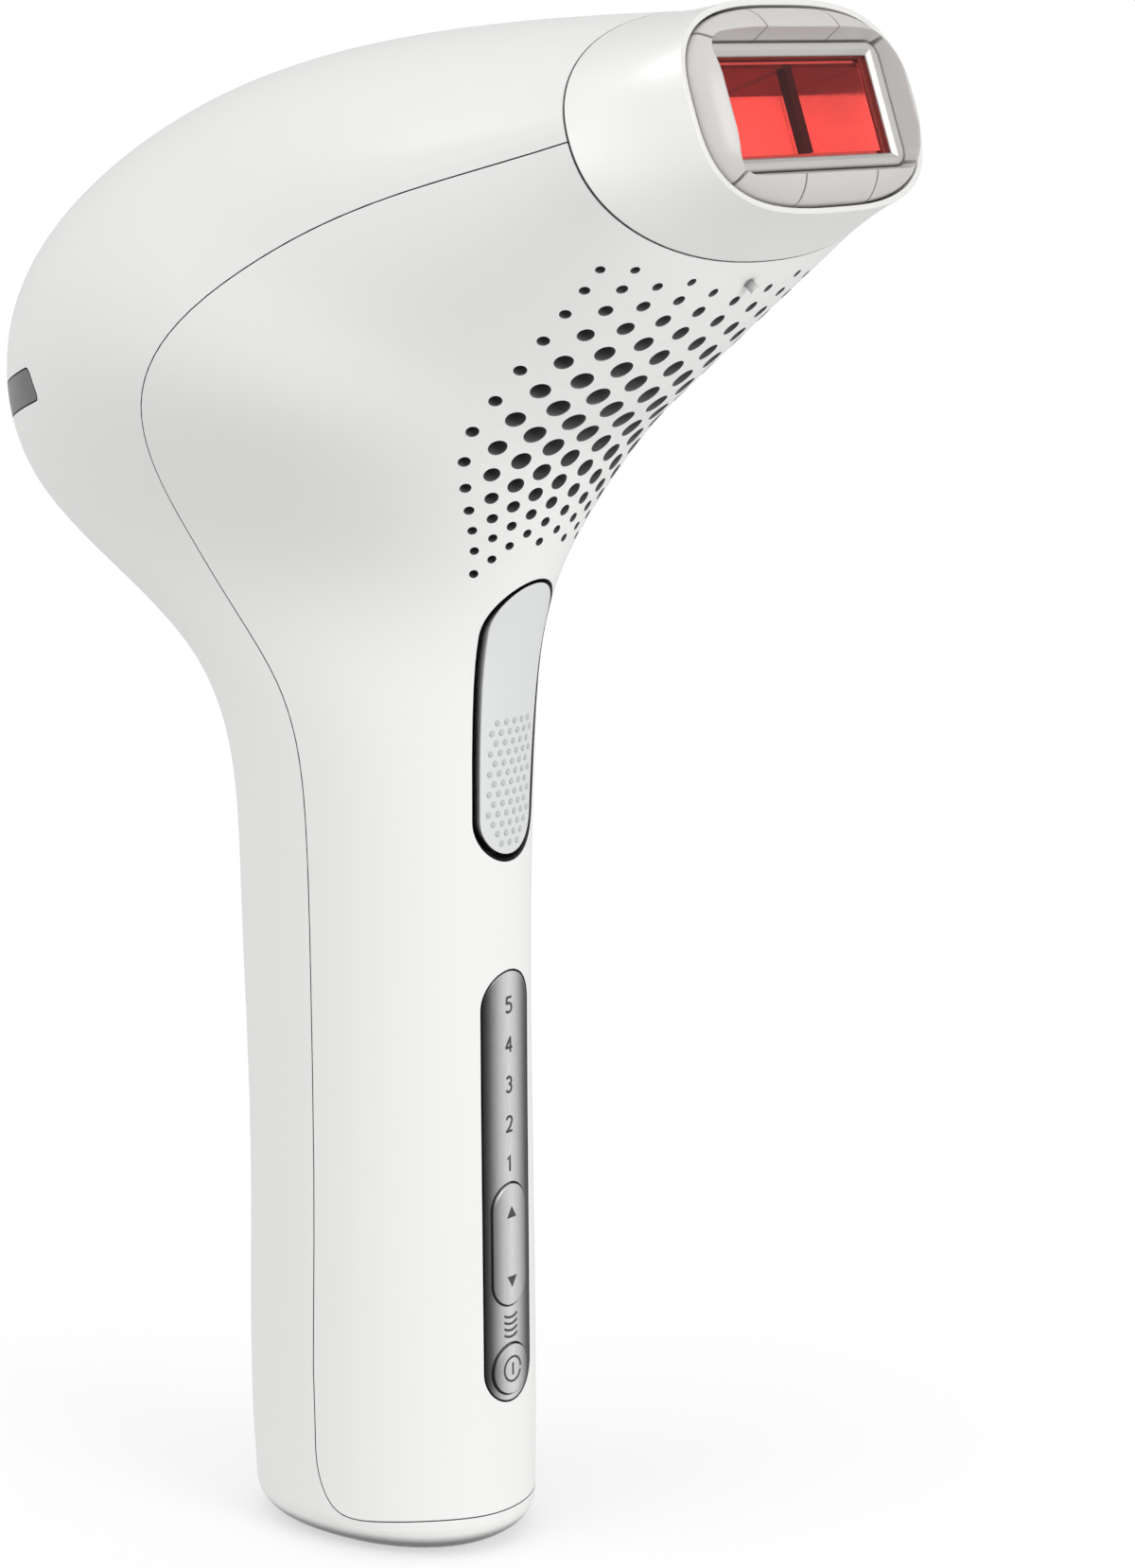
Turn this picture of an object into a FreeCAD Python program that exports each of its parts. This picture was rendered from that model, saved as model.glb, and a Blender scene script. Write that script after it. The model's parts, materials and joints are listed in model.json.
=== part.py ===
import FreeCAD, Part

# Handheld flash hair remover: a two-shell handset with a lamp head, a snap-on
# treatment attachment, a flash trigger and a control strip.
# Frame: millimetres, +Z up the handle, +X towards the controls, Y across, and
# the origin in the middle of the flat foot. The shape is symmetric about Y = 0.

import math
import os

import Sketcher
from FreeCAD import Placement, Rotation, Vector

AXIS_X, AXIS_Y, AXIS_Z = Vector(1, 0, 0), Vector(0, 1, 0), Vector(0, 0, 1)

# Cross sections of the handset from the foot to the collar of the head:
# front point x and z, back point x and z, and half the width between them.
STATIONS = {
    "foot": (21.5, 0, -20.5, 0, 16.5),
    "grip": (21.5, 50, -21.5, 50, 16.5),
    "waist": (21.5, 93, -23, 92, 16),
    "throat": (22.5, 117, -30, 122, 17),
    "heel": (28.5, 141, -63, 151, 24.5),
    "bulge": (34, 151.5, -58.5, 171, 34.5),
    "crown": (42, 160, -31, 196, 36),
    "brow": (51, 168, 5, 207.5, 35),
    "collar": (63, 180.2, 52.5, 211.3, 33.8),
}
STATION_FIELDS = ("front_x", "front_z", "back_x", "back_z", "half_width")

DIMENSIONS = {
    # shells
    "wall": 2.2,
    "section_power": 2.15,
    "foot_round": 5.0,
    "floor": 2.6,
    "seam_gap": 0.18,
    "lip": 1.3,
    "lip_fit": 0.08,
    # head axis and the attachment, as distances along the axis from the collar
    "head_x": 57.75,
    "head_z": 195.75,
    "head_tilt": 19.0,
    "collar_gap": 0.25,
    "rim_at": 12.0,
    "crest_at": 14.75,
    "face_at": 12.4,
    "groove_at": 6.5,
    "crest_inset": 3.1,
    "housing_wall": 2.0,
    "plug_depth": 5.0,
    "ring_wide": 46.3,
    "ring_tall": 25.4,
    "ring_band": 4.3,
    "ring_gap": 0.32,
    "ring_power": 3.0,
    "ring_split": 0.3,
    "segment_half": 7.8,
    "segment_travel": 1.0,
    "glass_wide": 32.4,
    "glass_tall": 12.8,
    "glass_thick": 1.2,
    "glass_inset": 0.6,
    # trigger
    "trigger_low": 98.9,
    "trigger_high": 136.4,
    "trigger_foot_wide": 10.6,
    "trigger_top_wide": 12.2,
    "trigger_gap": 1.1,
    "trigger_skin": 2.3,
    "trigger_pin_x": 17.5,
    "trigger_pin_z": 131.5,
    "trigger_pin_radius": 1.2,
    # control strip
    "strip_low": 21.2,
    "strip_high": 82.4,
    "strip_wide": 9.6,
    "strip_skin": 3.0,
    "strip_gap": 0.3,
    "rocker_low": 35.0,
    "rocker_high": 52.3,
    "rocker_wide": 6.8,
    "rocker_pin_x": 19.8,
    "button_gap": 0.3,
    "button_proud": 0.3,
    "power_z": 25.7,
    "power_radius": 3.5,
    "level_low": 55.2,
    "level_pitch": 5.63,
    "charge_z": 31.9,
    # ready light band round the back
    "light_x": -39.6,
    "light_z": 161.3,
    "light_slope": 14.6,
    "light_tall": 4.4,
    # air vents under the head
    "vent_small": 1.25,
    "vent_large": 3.45,
    "vent_columns": 5,
    "vent_rows": 11,
    "vent_first": 3.6,
    "vent_reach": 46.1,
    # frame inside the handle, boards and cells
    "chassis_x": 12.8,
    "chassis_thick": 1.4,
    "chassis_wide": 17.0,
    "board_thick": 1.2,
    "cell_radius": 7.0,
    "cell_length": 49.0,
    "cell_low": 31.0,
    # head internals
    "lamp_radius": 2.5,
    "lamp_length": 40.0,
    "lamp_back": 24.0,
    "reflector_wide": 36.0,
    "reflector_tall": 16.5,
    "capacitor_radius": 13.0,
    "capacitor_length": 48.0,
    "fan_radius": 12.4,
    "fan_thick": 8.0,
    "fan_frame": 28.0,
    "socket_radius": 4.4,
    "socket_bore": 2.75,
    "socket_depth": 9.0,
}

doc = FreeCAD.newDocument("hair_remover")
sheet = doc.addObject("Spreadsheet::Sheet", "dims")


def fill_sheet():
    """Write every driving dimension to the sheet as an aliased number."""
    cells = dict(DIMENSIONS)
    for name, numbers in STATIONS.items():
        for field, number in zip(STATION_FIELDS, numbers):
            cells[f"{name}_{field}"] = number
    for row, (alias, number) in enumerate(cells.items(), start=1):
        sheet.set(f"A{row}", alias)
        sheet.set(f"B{row}", str(number))
        sheet.setAlias(f"B{row}", alias)
    doc.recompute()


def dim(alias):
    return float(sheet.get(alias))


fill_sheet()
PARTS = []

WALL = dim("wall")
GAP = dim("seam_gap")
HEAD = Placement(Vector(dim("head_x"), 0, dim("head_z")), Rotation(AXIS_Y, 90 - dim("head_tilt")))


# ---------------------------------------------------------------- document helpers

def keep(obj, label):
    """Register an object as a sub-part under its own label."""
    obj.Label = label
    PARTS.append(obj)
    return obj


def feature(label, shape, placement=None):
    """A sub-part whose shape comes straight from Part's functions."""
    obj = doc.addObject("Part::Feature", label)
    obj.Shape = shape
    if placement is not None:
        obj.Placement = placement
    return keep(obj, label)


def primitive(kind, name, sizes, placement):
    """A Part primitive with its sizes bound to the sheet."""
    obj = doc.addObject(f"Part::{kind}", name)
    for prop, expression in sizes.items():
        obj.setExpression(prop, expression)
    obj.Placement = placement
    return obj


def group(label, members):
    """Several equal or paired solids that share one node."""
    obj = doc.addObject("Part::Compound", label)
    obj.Links = members
    return keep(obj, label)


def new_body(label, placement=None):
    body = doc.addObject("PartDesign::Body", label)
    if placement is not None:
        body.Placement = placement
    return keep(body, label)


def sketch_on(body, role, lift="0"):
    """A sketch on one of the body's own origin planes, lifted along its normal."""
    sketch = body.newObject("Sketcher::SketchObject", f"{body.Name}_sketch")
    plane = next(f for f in body.Origin.OriginFeatures if f.Role == role)
    sketch.AttachmentSupport = (plane, "")
    sketch.MapMode = "FlatFace"
    sketch.setExpression("AttachmentOffset.Base.z", lift)
    return sketch


def bind(sketch, constraint, expression):
    index = sketch.addConstraint(constraint)
    sketch.setExpression(f"Constraints[{index}]", expression)


def polygon(sketch, corners):
    """Closed outline; each corner is a pair of expressions."""
    first = sketch.GeometryCount
    count = len(corners)
    turns = [2 * math.pi * k / count for k in range(count + 1)]
    spots = [Vector(math.cos(turn), math.sin(turn), 0) for turn in turns]
    for start, end in zip(spots, spots[1:]):
        sketch.addGeometry(Part.LineSegment(start, end), False)
    for k, (across, along) in enumerate(corners):
        edge = first + k
        following = first + (k + 1) % count
        sketch.addConstraint(Sketcher.Constraint("Coincident", edge, 2, following, 1))
        bind(sketch, Sketcher.Constraint("DistanceX", -1, 1, edge, 1, 1.0), across)
        bind(sketch, Sketcher.Constraint("DistanceY", -1, 1, edge, 1, 1.0), along)


def rectangle(sketch, wide, tall, across="0", along="0"):
    left, right = f"{across}-({wide})/2", f"{across}+({wide})/2"
    low, high = f"{along}-({tall})/2", f"{along}+({tall})/2"
    polygon(sketch, [(left, low), (right, low), (right, high), (left, high)])


def circle(sketch, radius, across="0", along="0"):
    index = sketch.addGeometry(Part.Circle(Vector(0.1, 0.1, 0), AXIS_Z, 1.0), False)
    bind(sketch, Sketcher.Constraint("Radius", index, 1.0), radius)
    bind(sketch, Sketcher.Constraint("DistanceX", -1, 1, index, 3, 0.1), across)
    bind(sketch, Sketcher.Constraint("DistanceY", -1, 1, index, 3, 0.1), along)


def pad(body, sketch, length, symmetric=False, reverse=False):
    solid = body.newObject("PartDesign::Pad", f"{body.Name}_pad")
    solid.Profile = sketch
    solid.setExpression("Length", length)
    solid.SideType = "Symmetric" if symmetric else "One side"
    solid.Reversed = reverse
    return solid


def pocket(body, sketch, length, symmetric=False, reverse=False):
    """Cut a sketch from the body and check that material really went."""
    doc.recompute()
    before = body.Shape.Volume
    cut = body.newObject("PartDesign::Pocket", f"{body.Name}_pocket")
    cut.Profile = sketch
    cut.setExpression("Length", length)
    cut.SideType = "Symmetric" if symmetric else "One side"
    cut.Reversed = reverse
    doc.recompute()
    if body.Shape.Volume > before - 1e-3:
        raise RuntimeError(f"{body.Label}: a pocket cut nothing")
    return cut


def upright(x, y, z):
    return Placement(Vector(x, y, z), Rotation())


def towards(x, y, z, direction):
    """Placement whose local Z points along the direction."""
    return Placement(Vector(x, y, z), Rotation(AXIS_Z, direction))


def on_head(x, y, z):
    """Placement in the head's frame: z out along the axis, -x up, y across."""
    return HEAD.multiply(upright(x, y, z))


# ---------------------------------------------------------------- freeform helpers

def through(points, stops, periodic=False):
    """Smooth curve through points at given parameters."""
    curve = Part.BSplineCurve()
    curve.interpolate(Points=points, Parameters=stops, PeriodicFlag=periodic)
    return curve


def handset_lines():
    """Front, back and half-width lines through the stations, on one parameter."""
    rows = [[dim(f"{name}_{field}") for field in STATION_FIELDS] for name in STATIONS]
    knots = [0.0]
    for before, after in zip(rows, rows[1:]):
        knots.append(knots[-1] + math.dist(before[:4], after[:4]))
    knots = [knot / knots[-1] for knot in knots]
    fronts = [Vector(row[0], 0, row[1]) for row in rows]
    backs = [Vector(row[2], 0, row[3]) for row in rows]
    widths = [Vector(100 * knot, row[4], 0) for knot, row in zip(knots, rows)]
    return [through(points, knots) for points in (fronts, backs, widths)]


FRONT_LINE, BACK_LINE, WIDTH_LINE = handset_lines()


def signed_power(number, power):
    return math.copysign(abs(number) ** power, number)


def section(along, inset=0.0):
    """Front point, back point and half-width of a section, set in from the skin."""
    run = FRONT_LINE.tangent(along)[0]
    front = FRONT_LINE.value(along) - Vector(run.z, 0, -run.x) * inset
    run = BACK_LINE.tangent(along)[0]
    back = BACK_LINE.value(along) - Vector(-run.z, 0, run.x) * inset
    return front, back, WIDTH_LINE.value(along).y - inset


def skin_point(along, angle, inset=0.0):
    """Point of the skin at an angle round its section; 0 is the front line."""
    front, back, half_width = section(along, inset)
    power = 2 / dim("section_power")
    turn = math.radians(angle)
    reach = signed_power(math.cos(turn), power)
    side = signed_power(math.sin(turn), power)
    return (front + back) / 2 + (front - back) / 2 * reach + AXIS_Y * (half_width * side)


def skin_normal(along, angle):
    """Outward normal of the skin."""
    step = 0.002
    lengthways = skin_point(along + step, angle) - skin_point(along - step, angle)
    crossways = skin_point(along, angle + 1) - skin_point(along, angle - 1)
    return crossways.cross(lengthways).normalize()


def closed_curve(points):
    curve = Part.BSplineCurve()
    curve.interpolate(Points=points, PeriodicFlag=True)
    return Part.Wire(curve.toShape())


def skin(inset=0.0, past_collar=0.0):
    """Solid bounded by the handset's skin, set in by a wall thickness.

    Every section is a closed curve; the surface runs lengthways through their poles."""
    steps, corners = 26, 24
    stops = [k / steps for k in range(steps + 1)]
    rings = [[skin_point(stop, 90 + 360 * j / corners, inset) for j in range(corners)] for stop in stops]
    if past_collar:
        outwards = HEAD.Rotation.multVec(AXIS_Z) * past_collar
        rings.append([point + outwards for point in rings[-1]])
        stops.append(1 + past_collar / 300)
    turns = [float(j) for j in range(corners + 1)]
    sections = [through(ring, turns, periodic=True) for ring in rings]
    columns = []
    for pole in range(1, sections[0].NbPoles + 1):
        columns.append(through([curve.getPole(pole) for curve in sections], stops))
    surface = Part.BSplineSurface()
    surface.buildFromPolesMultsKnots(
        [column.getPoles() for column in columns],
        sections[0].getMultiplicities(), columns[0].getMultiplicities(),
        sections[0].getKnots(), columns[0].getKnots(), True, False, 3, 3)
    side = surface.toShape()
    ends = [Part.Face(Part.Wire([edge])) for edge in side.Edges if edge.isClosed()]
    shell = Part.makeShell([side] + ends)
    shell.sewShape()
    return Part.makeSolid(shell)


def extruded_side(points, half_width=60.0):
    """Polygon or curve in the X-Z plane, extruded across the whole width."""
    outline = points if isinstance(points, Part.Wire) else Part.makePolygon(points + points[:1])
    outline.translate(AXIS_Y * -half_width)
    return Part.Face(outline).extrude(AXIS_Y * (2 * half_width))


def seam_points():
    """Side view of the seam: along the widest line, then under the front."""
    line = []
    for k in range(13):
        front, back, _ = section(1 - 0.93 * k / 12)
        line.append((front + back) / 2)
    line[0] = line[0] + HEAD.Rotation.multVec(AXIS_Z) * 0.01
    line += [Vector(0.45, 0, 10.4), Vector(0.8, 0, 8.2), Vector(2.2, 0, 6.2)]
    line += [Vector(5, 0, 5.25), Vector(10, 0, 4.95), Vector(23, 0, 4.9)]
    return line


def front_region(shift):
    """Everything in front of the seam, with the seam moved back by a distance."""
    curve = Part.BSplineCurve()
    curve.interpolate(Points=seam_points())
    start, end = curve.FirstParameter, curve.LastParameter
    line = []
    for k in range(41):
        at = start + (end - start) * k / 40
        run = curve.tangent(at)[0]
        line.append(curve.value(at) + Vector(run.z, 0, -run.x) * shift)
    moved = Part.BSplineCurve()
    moved.interpolate(Points=line)
    mouth = line[0] + HEAD.Rotation.multVec(AXIS_Z) * 30
    toe = Vector(140, 0, line[-1].z)
    corners = [line[-1], toe, Vector(140, 0, mouth.z), mouth, line[0]]
    sides = [Part.makeLine(a, b) for a, b in zip(corners, corners[1:])]
    return extruded_side(Part.Wire([moved.toShape()] + sides))


def stadium(width, low, high, top_width=None, from_x=10.0, to_x=60.0):
    """Round-ended bar through the front wall, straight along X; it may widen upwards."""
    radius, top_radius = width / 2, (top_width or width) / 2
    base, top = low + radius, high - top_radius
    lean = math.asin((top_radius - radius) / (top - base))
    out, up = math.cos(lean), -math.sin(lean)

    def tangent_point(side, size, centre):
        return Vector(from_x, side * size * out, centre + size * up)

    left, right = tangent_point(-1, radius, base), tangent_point(1, radius, base)
    left_up, right_up = tangent_point(-1, top_radius, top), tangent_point(1, top_radius, top)
    edges = [
        Part.makeLine(right, right_up),
        Part.Arc(right_up, Vector(from_x, 0, high), left_up).toShape(),
        Part.makeLine(left_up, left),
        Part.Arc(left, Vector(from_x, 0, low), right).toShape(),
    ]
    return Part.Face(Part.Wire(edges)).extrude(AXIS_X * (to_x - from_x))


def rod(start, direction, length, radius):
    return Part.makeCylinder(radius, length, start, direction)


def block(centre, size):
    corner = centre - size / 2
    return Part.makeBox(size.x, size.y, size.z, corner)


def oval(wide, tall, power, lift):
    """Rounded outline in the head's frame, tall along local x."""
    points = []
    for k in range(32):
        turn = 2 * math.pi * k / 32
        up = signed_power(math.cos(turn), 2 / power) * tall / 2
        across = signed_power(math.sin(turn), 2 / power) * wide / 2
        points.append(Vector(up, across, lift))
    return closed_curve(points)


def oval_block(wide, tall, power, low, high):
    return Part.Face(oval(wide, tall, power, low)).extrude(AXIS_Z * (high - low))


def rounded_outline(wide, tall, corner, lift):
    """Rectangle with round corners in the head's frame, tall along local x."""
    edges = []
    reach_x, reach_y = tall / 2 - corner, wide / 2 - corner
    quarters = [(1, 1, 0), (-1, 1, 90), (-1, -1, 180), (1, -1, 270)]
    ends = []
    for x, y, start in quarters:
        centre = Vector(x * reach_x, y * reach_y, lift)
        arc = Part.makeCircle(corner, centre, AXIS_Z, start, start + 90)
        edges.append(arc)
        ends.append((arc.valueAt(arc.FirstParameter), arc.valueAt(arc.LastParameter)))
    outline = []
    for k, arc in enumerate(edges):
        outline += [arc, Part.makeLine(ends[k][1], ends[(k + 1) % 4][0])]
    return Part.Wire(outline)


def plate(wide, tall, low, high, corner=0.2):
    """Rectangular block with round corners in the head's frame."""
    return Part.Face(rounded_outline(wide, tall, corner, low)).extrude(AXIS_Z * (high - low))


# ---------------------------------------------------------------- handset skins

def rounded_foot(solid):
    foot = [e for e in solid.Edges if e.BoundBox.ZMax < 0.01]
    return solid.makeFillet(dim("foot_round"), foot)


def cavity(inset, floor):
    """Space inside the skin above a floor, open at the collar."""
    above = Part.makeBox(300, 200, 300, Vector(-150, -100, floor))
    return skin(inset, past_collar=3.0).common(above)


def between(tool, inset, depth):
    """Part of a tool that lies between two depths below the skin."""
    return tool.common(skin(inset)).cut(skin(depth))


OUTER = rounded_foot(skin())
INNER = cavity(WALL, dim("floor"))
MIDDLE = cavity(WALL / 2, dim("floor") / 2)
MIDDLE_FREE = cavity(WALL / 2 - dim("lip_fit"), dim("floor") / 2 - dim("lip_fit"))


def vent_centre(column, row):
    """Place of a vent on the skin: parameter along it and angle round it.

    Rows are counted down the front line from the collar and open out halfway;
    columns fan out towards the collar and sag a little away from the middle."""
    rows = dim("vent_rows")
    part = row / rows
    distance = dim("vent_first") + dim("vent_reach") * part
    distance += 1.4 * math.sin(math.pi * part) ** 2 - 2.0 * math.sin(2 * math.pi * part)
    distance += 1.3 * (column / dim("vent_columns")) ** 2
    along = FRONT_LINE.parameterAtDistance(-distance, FRONT_LINE.LastParameter)
    spread = 4.9 + 4.2 * max(0.0, 1.1 - part) ** 1.4 / 1.1 ** 1.4
    return along, column * spread


def vent_width(column, row):
    """Holes swell towards the middle of the field."""
    across = 1 - (abs(column) / (dim("vent_columns") + 0.4)) ** 4
    down = max(0.0, math.sin(math.pi * (row + 0.3) / (dim("vent_rows") + 0.6))) ** 1.5
    return dim("vent_small") + (dim("vent_large") - dim("vent_small")) * across * down


def vent_holes():
    """Staggered field of round holes that fans out below the head."""
    columns = int(dim("vent_columns"))
    holes = []
    for column in range(-columns, columns + 1):
        extra = 1 if abs(column) >= columns - 1 else 0
        for step in range(int(dim("vent_rows")) + 1 + extra):
            row = step + 0.5 * (column % 2)
            along, angle = vent_centre(column, row)
            outwards = skin_normal(along, angle)
            start = skin_point(along, angle) - outwards * (WALL + 1.5)
            holes.append(rod(start, outwards, WALL + 3.0, vent_width(column, row) / 2))
    return holes


def light_window(play):
    """Slanted bar in side view that cuts the ready light band from the back."""
    slope = math.radians(dim("light_slope"))
    run = Vector(math.cos(slope), 0, math.sin(slope))
    rise = Vector(-math.sin(slope), 0, math.cos(slope)) * (dim("light_tall") / 2 + play)
    end = Vector(dim("light_x"), 0, dim("light_z")) + run * play
    far = end - run * 60
    bar = extruded_side([end - rise, end + rise, far + rise, far - rise])
    corners = [e for e in bar.Edges if e.Length > 100 and e.BoundBox.XMax > end.x - 3]
    return bar.makeFillet(1.2, corners)


def shells():
    """Front and rear shell, joined by a lip inside the seam."""
    wall_solid = OUTER.cut(INNER)
    inside_half = MIDDLE.common(OUTER).cut(INNER)
    outside_half = OUTER.cut(MIDDLE_FREE)
    near, far = front_region(-GAP / 2), front_region(GAP / 2)
    lip_end, lip_clear = front_region(dim("lip")), front_region(dim("lip") + GAP)
    front = wall_solid.common(near).fuse(inside_half.common(lip_end))
    rear = wall_solid.cut(lip_clear).fuse(outside_half.cut(far))
    return front, rear


FRONT_SHELL, REAR_SHELL = shells()


def trigger_outline(grow):
    """Bar with the trigger's outline, grown by a margin that halves at its top."""
    return stadium(dim("trigger_foot_wide") + 2 * grow, dim("trigger_low") - grow,
                   dim("trigger_high") + grow / 2, dim("trigger_top_wide") + 2 * grow)


def trim_front(shell):
    """Openings for the trigger, the control strip and the cooling air."""
    opening = trigger_outline(dim("trigger_gap"))
    play = dim("strip_gap")
    strip = stadium(dim("strip_wide") + 2 * play, dim("strip_low") - play, dim("strip_high") + play)
    return shell.cut(opening).cut(strip).cut(vent_holes())


def trim_rear(shell):
    """Window for the ready light, hole for the socket and two screw posts."""
    post_ends = dim("chassis_x") - 0.05
    tools = [light_window(0.2), rod(Vector(0, 0, -1), AXIS_Z, 6, dim("socket_radius") + 0.1)]
    shell = shell.cut(tools)
    for height in SCREW_HEIGHTS:
        post = rod(Vector(-30, 0, height), AXIS_X, post_ends + 30, 2.6).common(INNER)
        bridge = rod(Vector(-30, 0, height), AXIS_X, 12, 2.6).common(OUTER).common(
            Part.makeBox(40, 20, 40, Vector(-42, -10, height - 20)))
        shell = shell.fuse([post, bridge])
        shell = shell.cut(rod(Vector(-8, 0, height), AXIS_X, 40, 1.05))
    return shell


SCREW_HEIGHTS = (17.5, 91.0)
feature("front_shell", trim_front(FRONT_SHELL))
feature("rear_shell", trim_rear(REAR_SHELL))
feature("ready_light_lens", between(light_window(0.0), 0.0, WALL - 0.2))


def dust_mesh():
    """Thin curved screen behind the vents, notched over the top of the trigger."""
    low, high = section(0.53)[0], section(0.955)[0]
    inwards = Vector(-0.78, 0, 0.62)
    corners = [low - inwards * 9, high - inwards * 9, high + inwards * 17, low + inwards * 17]
    screen = between(extruded_side(corners, 28.5), WALL + 0.4, WALL + 0.9)
    return screen.cut(trigger_outline(dim("trigger_gap") + 1.4))


feature("vent_dust_mesh", dust_mesh())


# ---------------------------------------------------------------- trigger

def trigger_button():
    """Flush cap with a retaining flange, a hinge boss and a switch nub."""
    low = dim("trigger_low")
    pin_x, pin_z = dim("trigger_pin_x"), dim("trigger_pin_z")
    skin_depth, boss_half = dim("trigger_skin"), 3.2
    cap = between(trigger_outline(0.0), 0.0, skin_depth)
    flange = between(trigger_outline(dim("trigger_gap") + 0.6), WALL + 0.2, WALL + 1.1)
    flange = flange.common(Part.makeBox(60, 30, 26, Vector(5, -15, low - 3)))
    rib = block(Vector(pin_x + 3, 0, pin_z), Vector(6, 2 * boss_half, 5)).fuse(
        block(Vector(pin_x + 2, 0, pin_z - 4), Vector(5, 3, 11)))
    rib = rib.common(skin(skin_depth - 0.3))
    boss = rod(Vector(pin_x, -boss_half, pin_z), AXIS_Y, 2 * boss_half, 2.6)
    nub = rod(Vector(18.35, 0, SWITCH_Z), AXIS_X, 2, 1.6)
    solid = cap.fuse([flange, rib, boss, nub])
    return solid.cut(rod(Vector(pin_x, -10, pin_z), AXIS_Y, 20, dim("trigger_pin_radius") + 0.04))


def trigger_liner():
    """Dark liner of the trigger opening: a wall against the shell and an inward lip."""
    gap, fit, lip_gap = dim("trigger_gap"), 0.05, 0.35
    outside = trigger_outline(gap - fit)
    wall = between(outside.cut(trigger_outline(gap - 0.4)), 0.35, WALL - 0.05)
    lip = between(outside.cut(trigger_outline(lip_gap)), WALL - 0.45, WALL - 0.05)
    return wall.fuse(lip)


def trigger_spring():
    """Torsion spring: a coil on the hinge pin with two short legs."""
    pin_x, pin_z = dim("trigger_pin_x"), dim("trigger_pin_z")
    coil_radius, wire = 1.75, 0.25
    coil_path = Part.makeHelix(0.6, 1.5, coil_radius)
    coil_wire = Part.Wire(Part.makeCircle(wire, Vector(coil_radius, 0, 0), AXIS_Y))
    coil = Part.Wire(coil_path).makePipeShell([coil_wire], True, True)
    coil.Placement = Placement(Vector(pin_x, 3.5, pin_z), Rotation(AXIS_Z, AXIS_Y))
    start = coil.BoundBox
    leg = rod(Vector(pin_x - coil_radius, 3.6, pin_z - 0.4), Vector(-0.05, 0, 1), 7.0, wire)
    tail = rod(Vector(pin_x + coil_radius, start.YMax - 0.3, pin_z + 0.4), Vector(-0.03, 0, -1), 8.0, wire)
    return coil, leg, tail


SWITCH_Z = 106
feature("trigger_button", trigger_button())
feature("trigger_liner", trigger_liner())
coil, leg, tail = trigger_spring()
feature("trigger_spring", coil.fuse([leg, tail]))
trigger_pin = primitive("Cylinder", "trigger_pivot_pin",
                        {"Radius": "dims.trigger_pin_radius", "Height": "13.6"},
                        towards(dim("trigger_pin_x"), -6.8, dim("trigger_pin_z"), AXIS_Y))
keep(trigger_pin, "trigger_pivot_pin")

switch = new_body("trigger_switch", upright(11, 0, SWITCH_Z))
switch_case = sketch_on(switch, "XZ_Plane")
rectangle(switch_case, "8", "10")
pad(switch, switch_case, "6.4", symmetric=True)
bore = sketch_on(switch, "YZ_Plane", "4")
circle(bore, "1.3")
pocket(switch, bore, "5.2")

plunger = primitive("Cylinder", "trigger_switch_plunger", {"Radius": "1.2", "Height": "5.1"},
                    towards(13.1, 0, SWITCH_Z, AXIS_X))
keep(plunger, "trigger_switch_plunger")


# ---------------------------------------------------------------- control strip

def strip_shell():
    """Metal strip with seats for the rocker, the power button and the light guides."""
    low, high, wide = dim("strip_low"), dim("strip_high"), dim("strip_wide")
    depth, play = dim("strip_skin"), dim("button_gap")
    body = between(stadium(wide, low, high), 0.0, depth)
    flange = between(stadium(wide + 2.4, low - 1.2, high + 1.2), WALL + 0.1, depth)
    solid = body.fuse(flange)
    rocker = stadium(dim("rocker_wide") + 2 * play, dim("rocker_low") - play, dim("rocker_high") + play)
    power = rod(Vector(10, 0, dim("power_z")), AXIS_X, 30, dim("power_radius") + play)
    guides = [block(Vector(18.2, 0, z), Vector(5.2, 2.8, tall + 0.4)) for z, tall in GUIDES]
    pin = rod(Vector(dim("rocker_pin_x"), -10, ROCKER_Z), AXIS_Y, 20, 0.5)
    counterbore = rod(Vector(10, 0, dim("power_z")), AXIS_X, 8.65, dim("power_radius") + 0.75)
    return solid.cut([rocker, power, counterbore, pin] + guides)


ROCKER_Z = (dim("rocker_low") + dim("rocker_high")) / 2
LEVELS = [dim("level_low") + k * dim("level_pitch") for k in range(5)]
GUIDES = [(z, 3.4) for z in LEVELS] + [(dim("charge_z"), 3.2)]
feature("control_strip", strip_shell())


def rocker_button():
    low, high, wide = dim("rocker_low"), dim("rocker_high"), dim("rocker_wide")
    key = between(stadium(wide, low, high), -dim("button_proud"), 2.9)
    rim = [e for e in key.Edges if e.BoundBox.XMin > 20.0]
    key = key.makeFillet(0.25, rim)
    return key.cut(rod(Vector(dim("rocker_pin_x"), -10, ROCKER_Z), AXIS_Y, 20, 0.53))


def power_button():
    radius, height = dim("power_radius"), dim("power_z")
    key = rod(Vector(17.85, 0, height), AXIS_X, 8, radius).common(skin(-dim("button_proud")))
    flange = rod(Vector(17.85, 0, height), AXIS_X, 0.6, radius + 0.5)
    return key.fuse(flange)


feature("rocker_button", rocker_button())
feature("power_button", power_button())
rocker_pin = primitive("Cylinder", "rocker_pivot_pin", {"Radius": "0.5", "Height": "8.8"},
                       towards(dim("rocker_pin_x"), -4.4, ROCKER_Z, AXIS_Y))
keep(rocker_pin, "rocker_pivot_pin")

BOARD_FACE = dim("chassis_x") + dim("chassis_thick") + 0.2 + dim("board_thick")
guide_boxes = []
for number, (z, tall) in enumerate(GUIDES):
    guide = primitive("Box", f"light_guide_{number}",
                      {"Length": f"20.6-{BOARD_FACE + 0.6}", "Width": "2.5", "Height": f"{tall}"},
                      upright(BOARD_FACE + 0.6, -1.25, z - tall / 2))
    guide_boxes.append(guide)
group("level_light_guides", guide_boxes[:-1])
keep(guide_boxes[-1], "charge_light_guide")


# ---------------------------------------------------------------- handle internals

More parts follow.
